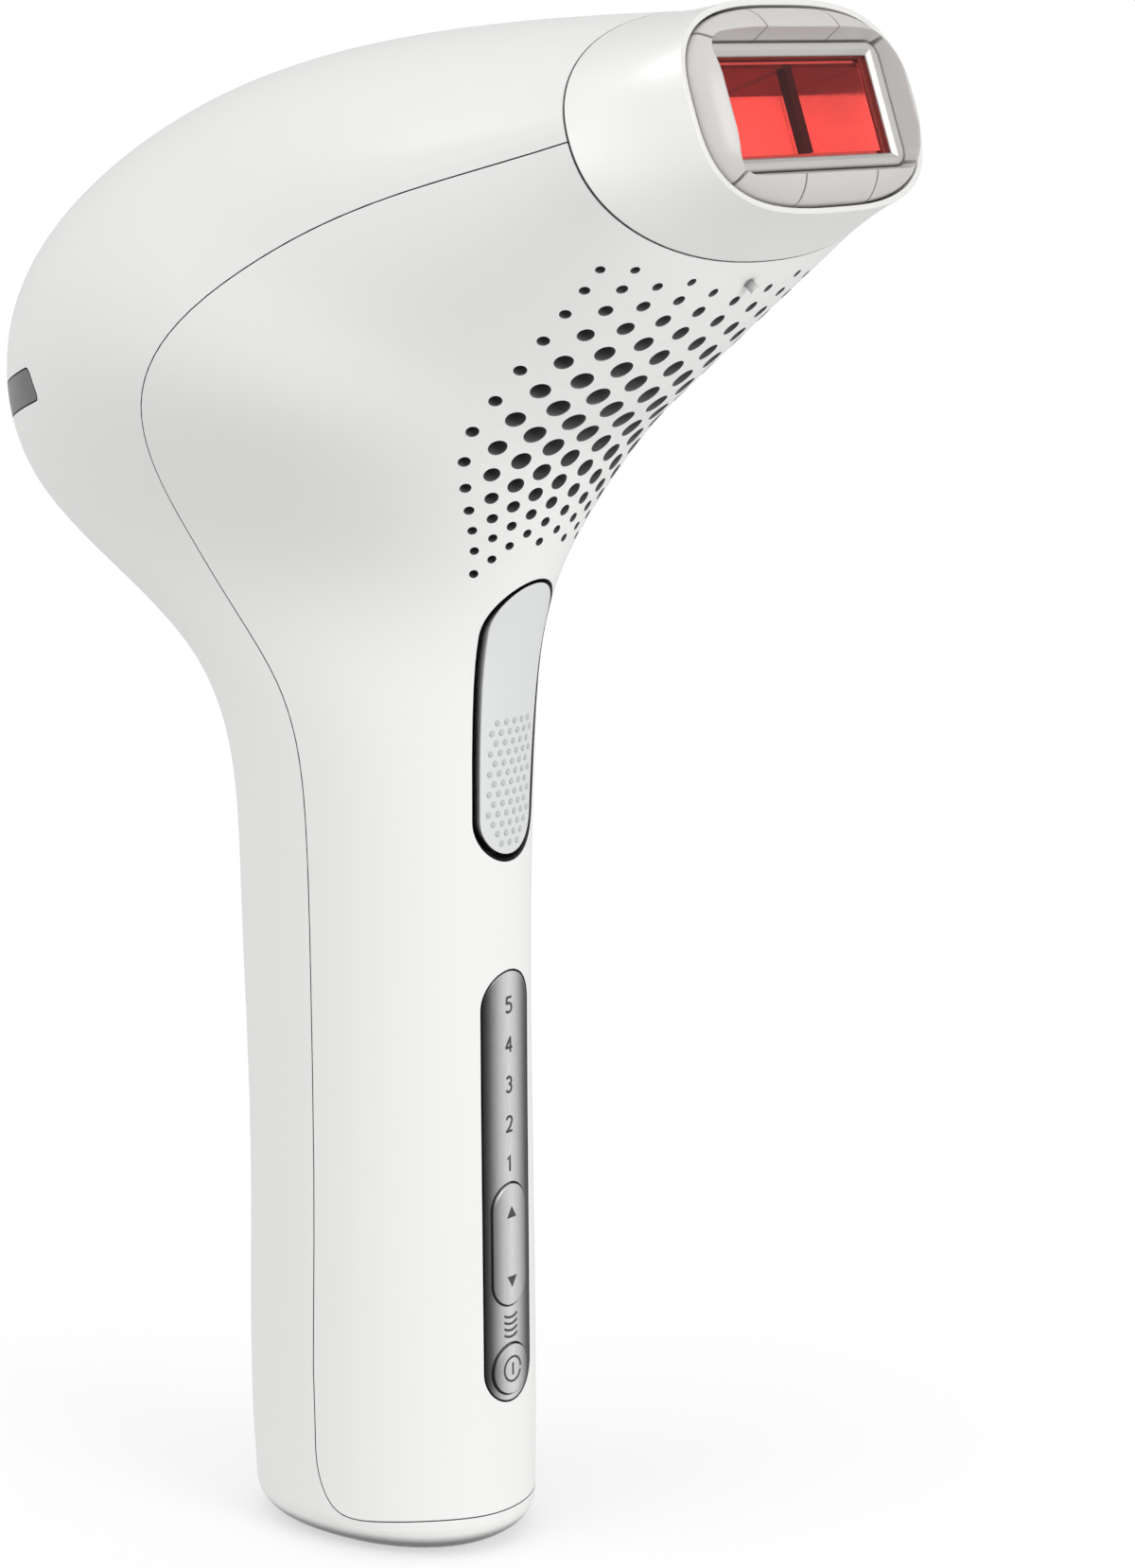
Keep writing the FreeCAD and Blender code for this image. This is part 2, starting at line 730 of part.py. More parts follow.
chassis = new_body("handle_chassis", upright(dim("chassis_x"), 0, 0))
plate_sketch = sketch_on(chassis, "YZ_Plane")
polygon(plate_sketch, [("-dims.chassis_wide/2", "13"), ("dims.chassis_wide/2", "13"),
                       ("dims.chassis_wide/2", "95"), ("5.4", "95"), ("5.4", "121"), ("7", "121"),
                       ("7", "137"), ("-7", "137"), ("-7", "121"), ("-5.4", "121"), ("-5.4", "95"),
                       ("-dims.chassis_wide/2", "95")])
pad(chassis, plate_sketch, "dims.chassis_thick")
for side in (-1, 1):
    cheek = sketch_on(chassis, "XZ_Plane", f"{side}*6.2")
    polygon(cheek, [("0.5", "dims.trigger_pin_z-9"),
                    ("dims.trigger_pin_x-dims.chassis_x", "dims.trigger_pin_z-4"),
                    ("dims.trigger_pin_x-dims.chassis_x+2.2", "dims.trigger_pin_z-1.5"),
                    ("dims.trigger_pin_x-dims.chassis_x+1.6", "dims.trigger_pin_z+3"),
                    ("0.5", "dims.trigger_pin_z+5")])
    pad(chassis, cheek, "1.2", symmetric=True)
pin_bore = sketch_on(chassis, "XZ_Plane")
circle(pin_bore, "dims.trigger_pin_radius", "dims.trigger_pin_x-dims.chassis_x", "dims.trigger_pin_z")
pocket(chassis, pin_bore, "20", symmetric=True)
windows = sketch_on(chassis, "YZ_Plane")
rectangle(windows, "6.6", "10.2", "0", f"{SWITCH_Z}")
circle(windows, "1.3", "0", f"{SCREW_HEIGHTS[0]}")
circle(windows, "1.3", "0", f"{SCREW_HEIGHTS[1]}")
pocket(chassis, windows, "10", symmetric=True)

board = new_body("control_board", upright(dim("chassis_x") + dim("chassis_thick") + 0.2, 0, 0))
board_sketch = sketch_on(board, "YZ_Plane")
polygon(board_sketch, [("-7.5", "21"), ("7.5", "21"), ("7.5", "86"), ("-7.5", "86")])
pad(board, board_sketch, "dims.board_thick")

screws = []
for number, height in enumerate(SCREW_HEIGHTS):
    head_x = dim("chassis_x") + dim("chassis_thick")
    shank = primitive("Cylinder", f"screw_shank_{number}", {"Radius": "1.0", "Height": "15"},
                      towards(head_x - 15, 0, height, AXIS_X))
    cap = primitive("Cylinder", f"screw_head_{number}", {"Radius": "2.1", "Height": "1.5"},
                    towards(head_x, 0, height, AXIS_X))
    screw = doc.addObject("Part::Fuse", f"screw_{number}")
    screw.Base = shank
    screw.Tool = cap
    screws.append(screw)
group("chassis_screws", screws)

tacts = []
for number, height in enumerate((ROCKER_Z - 5, ROCKER_Z + 5, dim("power_z"))):
    case = primitive("Box", f"tact_case_{number}", {"Length": "1.1", "Width": "4", "Height": "4"},
                     upright(BOARD_FACE, -2, height - 2))
    dome = primitive("Cylinder", f"tact_dome_{number}", {"Radius": "0.9", "Height": "0.4"},
                     towards(BOARD_FACE + 1.1, 0, height, AXIS_X))
    tact = doc.addObject("Part::Fuse", f"tact_{number}")
    tact.Base = case
    tact.Tool = dome
    tacts.append(tact)
group("tact_switches", tacts)

level_lamps = []
for number, (z, tall) in enumerate(GUIDES):
    level_lamps.append(primitive("Box", f"level_led_{number}",
                                 {"Length": "0.5", "Width": "1.6", "Height": "1.2"},
                                 upright(BOARD_FACE, -0.8, z - 0.6)))
group("level_leds", level_lamps)

CELL_SPOTS = (-9.7, 4.6)
cells = []
for number, x in enumerate(CELL_SPOTS):
    cells.append(primitive("Cylinder", f"cell_{number}",
                           {"Radius": "dims.cell_radius", "Height": "dims.cell_length"},
                           upright(x, 0, dim("cell_low"))))
group("battery_cells", cells)

holder = new_body("battery_holder", upright(-2.55, 0, dim("cell_low") - 2))
holder_sketch = sketch_on(holder, "XY_Plane")
rectangle(holder_sketch, "28", "10")
pad(holder, holder_sketch, "1.8")
spine = sketch_on(holder, "XY_Plane")
rectangle(spine, "2.4", "2.4", "0", "5.8")
pad(holder, spine, "dims.cell_length+4")
lid_sketch = sketch_on(holder, "XY_Plane", "dims.cell_length+2.2")
rectangle(lid_sketch, "28", "10")
pad(holder, lid_sketch, "1.8")

contacts = []
for number, x in enumerate(CELL_SPOTS):
    contacts.append(primitive("Cylinder", f"cell_contact_{number}", {"Radius": "2.2", "Height": "0.14"},
                              upright(x, 0, dim("cell_low") + dim("cell_length") + 0.02)))
group("battery_contacts", contacts)

socket = new_body("charging_socket")
socket_sketch = sketch_on(socket, "XY_Plane")
circle(socket_sketch, "dims.socket_radius")
pad(socket, socket_sketch, "dims.socket_depth+2")
for radius, depth in (("dims.socket_bore", "dims.socket_depth"), ("1.5", "dims.socket_depth+0.6")):
    socket_hole = sketch_on(socket, "XY_Plane", "-0.1")
    circle(socket_hole, radius)
    pocket(socket, socket_hole, f"{depth}+0.1", reverse=True)
socket_contact = primitive("Cylinder", "socket_contact", {"Radius": "1.4", "Height": "0.5"},
                           upright(0, 0, dim("socket_depth") + 0.05))
keep(socket_contact, "socket_contact")


# ---------------------------------------------------------------- drive electronics

power_board = new_body("power_board", upright(-5, 0, 0))
power_sketch = sketch_on(power_board, "YZ_Plane")
polygon(power_sketch, [("-12", "99"), ("12", "99"), ("13.5", "120"), ("13.5", "146"),
                       ("-13.5", "146"), ("-13.5", "120")])
pad(power_board, power_sketch, "1.6")

transformer = new_body("transformer", upright(-13.2, 0, 133))
core = sketch_on(transformer, "YZ_Plane")
rectangle(core, "17", "15")
pad(transformer, core, "16", symmetric=True)
slots = sketch_on(transformer, "XY_Plane")
rectangle(slots, "11", "3", "0", "8.5")
rectangle(slots, "11", "3", "0", "-8.5")
pocket(transformer, slots, "10", symmetric=True)

parts_on_board = [
    primitive("Cylinder", "filter_capacitor", {"Radius": "4", "Height": "9"},
              towards(-5.1, -6.2, 112, -AXIS_X)),
    primitive("Cylinder", "choke", {"Radius": "3.6", "Height": "8"}, towards(-5.1, 6.2, 110, -AXIS_X)),
    primitive("Box", "power_transistor", {"Length": "3", "Width": "9", "Height": "11"},
              upright(-3.35, -4.5, 118)),
]
group("board_components", parts_on_board)

capacitor = new_body("flash_capacitor", towards(-18, 0, 169.5, AXIS_Y))
can = sketch_on(capacitor, "XY_Plane")
circle(can, "dims.capacitor_radius")
pad(capacitor, can, "dims.capacitor_length", symmetric=True)
capacitor_clamp = new_body("capacitor_clamp", towards(-18, 0, 169.5, AXIS_Y))
clamp_ring = sketch_on(capacitor_clamp, "XY_Plane")
circle(clamp_ring, "dims.capacitor_radius+1.2")
circle(clamp_ring, "dims.capacitor_radius+0.05")
pad(capacitor_clamp, clamp_ring, "9", symmetric=True)


# ---------------------------------------------------------------- cooling fan

FAN_AXIS = Vector(0.77, 0, -0.64)
FAN = towards(23.0, 0, 158.0, FAN_AXIS)
fan_housing = new_body("fan_housing", FAN)
frame_sketch = sketch_on(fan_housing, "XY_Plane")
rectangle(frame_sketch, "dims.fan_frame", "dims.fan_frame")
pad(fan_housing, frame_sketch, "dims.fan_thick", symmetric=True)
throat_sketch = sketch_on(fan_housing, "XY_Plane")
circle(throat_sketch, "dims.fan_radius+0.6")
pocket(fan_housing, throat_sketch, "dims.fan_thick+2", symmetric=True)
spokes = sketch_on(fan_housing, "XY_Plane", "-dims.fan_thick/2")
rectangle(spokes, "2*dims.fan_radius+2", "1.6")
pad(fan_housing, spokes, "0.9")
spokes = sketch_on(fan_housing, "XY_Plane", "-dims.fan_thick/2")
rectangle(spokes, "1.6", "2*dims.fan_radius+2")
pad(fan_housing, spokes, "0.9")
hub_seat = sketch_on(fan_housing, "XY_Plane", "-dims.fan_thick/2")
circle(hub_seat, "3.8")
pad(fan_housing, hub_seat, "0.9")

fan_motor = new_body("fan_motor", FAN)
stator = sketch_on(fan_motor, "XY_Plane", "-dims.fan_thick/2+0.95")
circle(stator, "3.6")
pad(fan_motor, stator, "3.6")
shaft = sketch_on(fan_motor, "XY_Plane", "-dims.fan_thick/2+0.95")
circle(shaft, "0.6")
pad(fan_motor, shaft, "dims.fan_thick-2.4")


def fan_impeller():
    """Hub cup over the motor with seven twisted blades."""
    depth = dim("fan_thick")
    hub = rod(Vector(0, 0, -depth / 2 + 1.3), AXIS_Z, depth - 2, 4.9)
    hub = hub.cut(rod(Vector(0, 0, -depth / 2 + 1.2), AXIS_Z, depth - 3.3, 3.9))
    hub = hub.cut(rod(Vector(0, 0, -depth), AXIS_Z, 2 * depth, 0.65))
    blades = []
    for k in range(7):
        root = Part.makePolygon([Vector(4.5, -2.0, -2.4), Vector(4.5, -1.2, -2.4),
                                 Vector(4.5, 2.2, 2.4), Vector(4.5, 1.4, 2.4), Vector(4.5, -2.0, -2.4)])
        end = dim("fan_radius")
        tip = Part.makePolygon([Vector(end, -3.0, -1.9), Vector(end, -2.4, -1.9),
                                Vector(end, 3.2, 1.9), Vector(end, 2.6, 1.9), Vector(end, -3.0, -1.9)])
        blade = Part.makeLoft([root, tip], True, True)
        blade.rotate(Vector(), AXIS_Z, 360 * k / 7)
        blades.append(blade)
    return hub.fuse(blades)


feature("fan_impeller", fan_impeller(), FAN)


# ---------------------------------------------------------------- lamp module in the head

feature("nose_frame", oval_block(61.2, 26.8, dim("section_power"), -9.0, -7.2).cut(
    plate(dim("reflector_wide") - 1.0, dim("reflector_tall") - 0.7, -10, -6)), HEAD)

uv_glass = new_body("uv_filter_glass", HEAD)
uv_sketch = sketch_on(uv_glass, "XY_Plane", "-8.9")
rectangle(uv_sketch, "dims.reflector_tall-0.9", "dims.reflector_wide-1.2")
pad(uv_glass, uv_sketch, "1.5")


def reflector():
    """Bright trough, open towards the window and closed round the lamp."""
    wide, tall, back = dim("reflector_wide"), dim("reflector_tall"), dim("lamp_back")
    mouth, sheet_metal = -9.4, 0.6
    profile = [(tall / 2, mouth), (tall / 2 - 1.2, -15.0), (tall / 2 - 3.4, -20.5),
               (3.6, -back - 2.5), (0, -back - 3.8)]
    profile += [(-x, z) for x, z in reversed(profile[:-1])]
    trough = []
    for grow in (sheet_metal, 0.0):
        points = []
        for x, z in profile:
            sideways = 0 if x == 0 else math.copysign(grow, x)
            points.append(Vector(x + sideways, 0, z - (grow if abs(x) < 4 else 0)))
        points.append(points[0])
        face = Part.Face(Part.makePolygon(points))
        face.translate(AXIS_Y * (-wide / 2))
        trough.append(face.extrude(AXIS_Y * wide))
    return trough[0].cut(trough[1])


feature("reflector", reflector(), HEAD)
lamp = new_body("flash_lamp", HEAD.multiply(towards(0, 0, -dim("lamp_back"), AXIS_Y)))
tube = sketch_on(lamp, "XY_Plane")
circle(tube, "dims.lamp_radius")
pad(lamp, tube, "dims.lamp_length", symmetric=True)

electrodes = []
holders = []
for side in (-1, 1):
    tip = dim("lamp_length") / 2 + 0.02
    electrode = primitive("Cylinder", f"electrode_{side}", {"Radius": "0.7", "Height": "5"},
                          HEAD.multiply(towards(0, side * tip, -dim("lamp_back"), AXIS_Y * side)))
    electrodes.append(electrode)
    holder_block = primitive("Box", f"holder_block_{side}", {"Length": "10", "Width": "3", "Height": "10"},
                             on_head(-5, side * 22.8 - 1.5, -dim("lamp_back") - 5))
    hole = primitive("Cylinder", f"holder_hole_{side}", {"Radius": "0.74", "Height": "20"},
                     HEAD.multiply(towards(0, -side * 2 + side * 14, -dim("lamp_back"), AXIS_Y * side)))
    cut = doc.addObject("Part::Cut", f"lamp_holder_{side}")
    cut.Base = holder_block
    cut.Tool = hole
    holders.append(cut)
group("lamp_electrodes", electrodes)
group("lamp_holders", holders)

heat_sink = new_body("heat_sink", on_head(0, 0, 0))
sink_base = sketch_on(heat_sink, "XY_Plane", "-31")
rectangle(sink_base, "20", "40", "-1")
pad(heat_sink, sink_base, "2")
fin = sketch_on(heat_sink, "XY_Plane", "-40")
rectangle(fin, "20", "1.2", "-1", "-18.8")
fin_pad = pad(heat_sink, fin, "9.2")
doc.recompute()
fins = heat_sink.newObject("PartDesign::LinearPattern", "heat_sink_fins")
fins.Originals = [fin_pad]
fins.Direction = (fin, ["V_Axis"])
fins.Length = 37.6
fins.Occurrences = 9
heat_sink.Tip = fins

thermal_fuse = new_body("thermal_sensor", on_head(-1, 0, -28.3))
sensor_sketch = sketch_on(thermal_fuse, "XY_Plane", "-0.65")
rectangle(sensor_sketch, "4", "6")
pad(thermal_fuse, sensor_sketch, "0.55")


# ---------------------------------------------------------------- attachment

def head_skin(inset, low, high):
    """Outer form of the attachment between two distances along the axis."""
    collar_wide = 2 * dim("collar_half_width")
    collar_tall = math.dist((dim("collar_front_x"), dim("collar_front_z")),
                            (dim("collar_back_x"), dim("collar_back_z")))
    rim_wide = dim("ring_wide") + 2 * dim("ring_gap") + 1.5
    rim_tall = dim("ring_tall") + 2 * dim("ring_gap") + 1.5
    wires = []
    for k in range(6):
        at = low + (high - low) * k / 5
        part = at / dim("rim_at")
        ease = part + 0.10 * math.sin(math.pi * part)
        wide = collar_wide + (rim_wide - collar_wide) * ease - 2 * inset
        tall = collar_tall + (rim_tall - collar_tall) * ease - 2 * inset
        power = dim("section_power") + (dim("ring_power") - dim("section_power")) * part
        wires.append(oval(wide, tall, power, at))
    return Part.makeLoft(wires, True, False, False, 5)


def attachment_housing():
    """Cone-shaped cover with a plug behind it and a groove for the contact ring."""
    gap, rim = dim("collar_gap"), dim("rim_at")
    floor_at, thick = dim("groove_at"), dim("housing_wall")
    cover = head_skin(0.0, gap, rim).cut(head_skin(thick, -0.5, floor_at - thick))
    collar_wide = 2 * dim("collar_half_width")
    collar_tall = math.dist((dim("collar_front_x"), dim("collar_front_z")),
                            (dim("collar_back_x"), dim("collar_back_z")))
    step = 2 * (WALL + 0.3)
    outside = oval_block(collar_wide - step, collar_tall - step, dim("section_power"),
                         -dim("plug_depth"), gap + 0.6)
    inside = oval_block(collar_wide - step - 3, collar_tall - step - 3, dim("section_power"),
                        -dim("plug_depth") - 1, gap + 1)
    bridge = head_skin(0.3, gap, rim).common(oval_block(80, 60, dim("section_power"), gap, gap + 1.6))
    bridge = bridge.cut(
        oval_block(collar_wide - step - 3, collar_tall - step - 3, dim("section_power"), 0, 3))
    ring_gap = 2 * dim("ring_gap")
    groove = oval_block(dim("ring_wide") + ring_gap, dim("ring_tall") + ring_gap, dim("ring_power"),
                        floor_at, rim + 5)
    tunnel = plate(FRAME_WIDE + 0.1, FRAME_TALL + 0.1, -10, 20, BORE_CORNER - 0.2)
    pegs = [rod(Vector(x, y, -2), AXIS_Z, 12, 1.0) for x, y in PEG_SPOTS.values()]
    return cover.fuse([outside.cut(inside), bridge]).cut([groove, tunnel] + pegs)


def ring_blank():
    """Whole contact ring: a cone-like outer slope, a crest and a straight bore."""
    wide, tall, power = dim("ring_wide"), dim("ring_tall"), dim("ring_power")
    low, rim, crest = dim("groove_at") + 0.4 + dim("segment_travel"), dim("rim_at"), dim("crest_at")
    inset = dim("crest_inset")
    slope = [(low, 0.0), (rim - 0.5, 0.0), (rim + 0.15, 0.12), (rim + 1.05, 0.7), (rim + 1.8, 1.45),
             (rim + 2.4, 2.35), (crest, inset)]
    outside = Part.makeLoft([oval(wide - 2 * cut, tall - 2 * cut, power, at) for at, cut in slope],
                            True, False, False, 3)
    bore_wide, bore_tall = wide - 2 * dim("ring_band"), tall - 2 * dim("ring_band")
    bore = plate(bore_wide, bore_tall, low - 1, crest + 1, BORE_CORNER)
    face, flare = dim("face_at") - 0.1, 2 * (dim("ring_band") - inset - 0.3)
    beyond = (crest + 0.3 - face) / (crest - face)
    funnel = Part.makeLoft([
        rounded_outline(bore_wide, bore_tall, BORE_CORNER, face),
        rounded_outline(bore_wide + flare * beyond, bore_tall + flare * beyond,
                        BORE_CORNER + flare / 2, crest + 0.3)], True, True)
    return outside.cut(bore.fuse(funnel))


def wedge(corners):
    """Cutting prism through the ring; corners are points across the head."""
    points = [Vector(x, y, 0) for x, y in corners]
    return Part.Face(Part.makePolygon(points + points[:1])).extrude(AXIS_Z * 30)


def ring_segments():
    """Cut the ring into eight keys: three above, three below and one at each side."""
    blank = ring_blank()
    split = dim("ring_split") / 2
    half = dim("segment_half")
    corner_y, corner_x = 18.6, 8.6
    far_y, far_x = 26.0, 17.5
    keys = {}
    for name, up in (("top", -1), ("bottom", 1)):
        keys[f"{name}_mid"] = wedge([(up * 4, -half + split), (up * far_x, -half + split),
                                     (up * far_x, half - split), (up * 4, half - split)])
        for hand, side in (("left", -1), ("right", 1)):
            keys[f"{name}_{hand}"] = wedge([
                (up * 4, side * (half + split)), (up * far_x, side * (half + split)),
                (up * far_x, side * (far_y - split)), (up * corner_x, side * (corner_y - split)),
                (up * 4, side * (corner_y - 7))])
    for hand, side in (("left", -1), ("right", 1)):
        keys[hand] = wedge([
            (corner_x - 2 * split, side * (corner_y + split)), (far_x - split, side * (far_y + split)),
            (far_x, side * 30), (-far_x, side * 30), (-far_x + split, side * (far_y + split)),
            (-corner_x + 2 * split, side * (corner_y + split)), (-corner_x + 3, side * (corner_y - 2)),
            (corner_x - 3, side * (corner_y - 2))])
    segments = {}
    for name, tool in keys.items():
        x, y = PEG_SPOTS[name]
        low = dim("groove_at") + 0.4 + dim("segment_travel")
        peg = rod(Vector(x, y, 4.6), AXIS_Z, low - 4.1, 0.8)
        segments[name] = blank.common(tool).fuse(peg)
    return segments


BORE_CORNER = 2.4
FILTER_AT = -3.4
FRAME_WIDE = dim("ring_wide") - 2 * dim("ring_band") - 0.6
FRAME_TALL = dim("ring_tall") - 2 * dim("ring_band") - 0.6
PEG_SPOTS = {
    "left": (0, -20.9), "right": (0, 20.9),
    "top_mid": (-10.6, 0), "bottom_mid": (10.6, 0),
    "top_left": (-10.4, -11.5), "top_right": (-10.4, 11.5),
    "bottom_left": (10.4, -11.5), "bottom_right": (10.4, 11.5),
}
feature("attachment_housing", attachment_housing(), HEAD)
for name, shape in ring_segments().items():
    feature(f"ring_segment_{name}", shape, HEAD)


def window_frame():
    """Bright bezel round the glass, bevelled down to it, with a long skirt."""
    face, seat = dim("face_at"), dim("face_at") - dim("glass_inset")
    body = plate(FRAME_WIDE, FRAME_TALL, 1.0, face, BORE_CORNER - 0.25)
    rim = [e for e in body.Edges if e.BoundBox.ZMin > face - 1e-3]
    body = body.makeFillet(0.35, rim)
    wide, tall = dim("glass_wide"), dim("glass_tall")
    opening = plate(wide, tall, -2, face + 2)
    bevel = Part.makeLoft([
        Part.makePolygon([Vector(x * (tall / 2 + grow), y * (wide / 2 + grow), at)
                          for x, y in ((-1, -1), (1, -1), (1, 1), (-1, 1), (-1, -1))])
        for grow, at in ((0.0, seat), (0.85, face + 0.1))], True, True)
    seat_pocket = plate(wide + 1.2, tall + 1.0, seat - dim("glass_thick") - 0.05, seat - 0.0)
    return body.cut([opening, bevel, seat_pocket])


feature("window_frame", window_frame(), HEAD)
glass = new_body("window_filter_glass", HEAD)
glass_sketch = sketch_on(glass, "XY_Plane", "dims.face_at-dims.glass_inset-dims.glass_thick-0.02")
rectangle(glass_sketch, "dims.glass_tall+0.9", "dims.glass_wide+1.1")
pad(glass, glass_sketch, "dims.glass_thick")

TUNNEL_WIDE, TUNNEL_TALL = dim("glass_wide") - 0.3, dim("glass_tall") - 0.3
light_tunnel = new_body("light_tunnel", HEAD)
tunnel_sketch = sketch_on(light_tunnel, "XY_Plane", "-6.2")
rectangle(tunnel_sketch, f"{TUNNEL_TALL}", f"{TUNNEL_WIDE}")
rectangle(tunnel_sketch, f"{TUNNEL_TALL - 1}", f"{TUNNEL_WIDE - 1}")
pad(light_tunnel, tunnel_sketch, "dims.face_at-dims.glass_inset-dims.glass_thick+6")


def window_baffle():
    """Dark insert behind the glass: a roof plate and an upright bar in the middle."""
    front = dim("face_at") - dim("glass_inset") - dim("glass_thick") - 0.25
    wide, tall, depth = TUNNEL_WIDE - 1.2, TUNNEL_TALL - 1.2, 11.5
    bar_wide, bar_thick, roof_at = 1.6, 1.2, -(TUNNEL_TALL / 2 - 0.55)
    roof = Part.makeBox(0.4, wide, depth, Vector(roof_at, -wide / 2, front - depth))
    bar = Part.makeBox(tall, bar_wide, bar_thick, Vector(roof_at, -bar_wide / 2, front - bar_thick))
    return roof.fuse(bar)


feature("window_baffle", window_baffle(), HEAD)
filter_plates = []
for number, (low_x, high_x) in enumerate(((-5.6, -0.95), (-0.65, 5.6))):
    filter_plates.append(primitive(
        "Box", f"filter_plate_{number}",
        {"Length": f"{high_x - low_x}", "Width": f"{TUNNEL_WIDE - 1.3}", "Height": "1.1"},
        on_head(low_x, -(TUNNEL_WIDE - 1.3) / 2, FILTER_AT)))
group("heat_filter_plates", filter_plates)

feature("contact_sensor_board", oval_block(52.0, 25.6, 2.4, 2.0, 2.8).cut(
    plate(FRAME_WIDE + 0.6, FRAME_TALL + 0.6, 1, 4, BORE_CORNER)), HEAD)
domes = []
for name, (x, y) in PEG_SPOTS.items():
    domes.append(primitive("Cylinder", f"dome_{name}", {"Radius": "1.3", "Height": "0.7"},
                           on_head(x, y, 2.82)))
group("contact_domes", domes)

pins = []
for number, y in enumerate((-27.4, 27.4)):
    pins.append(primitive("Cylinder", f"contact_pin_{number}", {"Radius": "0.7", "Height": "8.4"},
                          on_head(0, y, -7.1)))
group("attachment_contact_pins", pins)


# ---------------------------------------------------------------- export

def check_document():
    """Stop when any object failed or any sub-part has no valid solid."""
    doc.recompute()
    for obj in doc.Objects:
        if "Invalid" in obj.State or "Error" in obj.State:
            raise RuntimeError(f"{obj.Label}: {obj.State}")
    for part in PARTS:
        if part.Shape.isNull() or not part.Shape.isValid() or not part.Shape.Solids:
            raise RuntimeError(f"{part.Label} has no valid solid")


def export_parts():
    os.makedirs("parts", exist_ok=True)
    for part in PARTS:
        part.Shape.exportStep(f"parts/{part.Label}.step")


check_document()
export_parts()
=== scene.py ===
import json
import math

import bmesh
import bpy
from mathutils import Matrix, Vector
from mathutils.bvhtree import BVHTree


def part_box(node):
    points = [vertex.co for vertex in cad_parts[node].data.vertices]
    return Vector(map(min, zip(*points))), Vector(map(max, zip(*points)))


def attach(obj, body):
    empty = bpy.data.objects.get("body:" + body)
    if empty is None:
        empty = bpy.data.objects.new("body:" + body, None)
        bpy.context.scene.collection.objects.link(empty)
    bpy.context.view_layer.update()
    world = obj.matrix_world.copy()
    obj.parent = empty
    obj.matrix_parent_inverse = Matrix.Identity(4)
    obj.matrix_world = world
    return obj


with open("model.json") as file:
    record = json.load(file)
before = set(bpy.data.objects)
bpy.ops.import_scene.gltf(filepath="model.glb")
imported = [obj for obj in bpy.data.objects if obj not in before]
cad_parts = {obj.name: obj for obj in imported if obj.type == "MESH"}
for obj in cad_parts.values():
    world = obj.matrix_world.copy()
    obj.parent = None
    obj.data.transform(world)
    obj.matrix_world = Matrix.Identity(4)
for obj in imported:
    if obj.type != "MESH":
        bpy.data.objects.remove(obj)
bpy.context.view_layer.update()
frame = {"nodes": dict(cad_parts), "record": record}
NODES = frame["nodes"]
SCENE = bpy.context.scene
MM = 0.001


# ---------------------------------------------------------------- node graphs

class Graph:
    """A material with a Principled surface and short calls for its nodes."""

    def __init__(self, name, **surface):
        self.material = bpy.data.materials.new(name)
        self.material.use_nodes = True
        self.tree = self.material.node_tree
        self.surface = self.tree.nodes["Principled BSDF"]
        self.place = self.node("TexCoord").outputs["Object"]
        for socket, value in surface.items():
            self.put(self.surface, socket.replace("_", " ").title(), value)

    def node(self, kind, inputs=None, **props):
        made = self.tree.nodes.new(f"ShaderNode{kind}")
        for prop, value in props.items():
            setattr(made, prop, value)
        for socket, value in (inputs or {}).items():
            self.put(made, socket, value)
        return made

    def put(self, node, socket, value):
        """Set an input to a number or a colour, or link another node's output to it."""
        socket = socket.replace("Ior", "IOR")
        target = node.inputs[socket]
        if isinstance(value, bpy.types.NodeSocket):
            self.tree.links.new(value, target)
        elif isinstance(value, tuple) and len(value) == 3 and target.type == "RGBA":
            target.default_value = (*value, 1)
        else:
            target.default_value = value

    def stretched(self, across, along, upright):
        """The object's place with its axes scaled, to draw a noise out into lines."""
        made = self.node("Mapping", {"Vector": self.place, "Scale": (across, along, upright)})
        return made.outputs["Vector"]

    def noise(self, per_mm, detail=3.0, vector=None, rough=0.55):
        """Noise whose features are about 1 / per_mm millimetres wide."""
        made = self.node("TexNoise", {"Vector": vector or self.place, "Scale": per_mm / MM,
                                      "Detail": detail, "Roughness": rough})
        return made.outputs["Fac"]

    def levels(self, value, low, high, to_low, to_high):
        """Map low..high to to_low..to_high, clamped at both ends."""
        made = self.node("MapRange", {"Value": value, "From Min": low, "From Max": high,
                                      "To Min": to_low, "To Max": to_high})
        return made.outputs["Result"]

    def mix(self, factor, one, other):
        made = self.node("Mix", data_type="RGBA")
        for index, value in ((0, factor), (6, one), (7, other)):
            if isinstance(value, bpy.types.NodeSocket):
                self.tree.links.new(value, made.inputs[index])
            else:
                made.inputs[index].default_value = value if index == 0 else (*value, 1)
        return made.outputs[2]

    def maths(self, operation, one, other=0.0):
        made = self.node("Math", operation=operation)
        for index, value in ((0, one), (1, other)):
            if isinstance(value, bpy.types.NodeSocket):
                self.tree.links.new(value, made.inputs[index])
            else:
                made.inputs[index].default_value = value
        return made.outputs[0]

    def axis(self, name):
        """One object coordinate, in millimetres."""
        split = self.node("SeparateXYZ", {"Vector": self.place})
        return self.maths("MULTIPLY", split.outputs[name], 1 / MM)

    def soft_edges(self, radius_mm):
        """Normal that rounds the edges by a radius in mm; the mesh stays as it is."""
        return self.node("Bevel", {"Radius": radius_mm * MM}, samples=4).outputs["Normal"]

    def relief(self, height, depth_mm, normal=None):
        inputs = {"Height": height, "Distance": depth_mm * MM, "Strength": 1.0}
        if normal is not None:
            inputs["Normal"] = normal
        made = self.node("Bump", inputs)
        self.put(self.surface, "Normal", made.outputs["Normal"])


# Painted shade: a point counts as sunk, and its colour is darkened, when its surroundings within this many
# mm close it in.
PAINTED_SHADE_REACH = 4.0
PAINTED_SHADE_LEVELS = (0.50, 0.80)


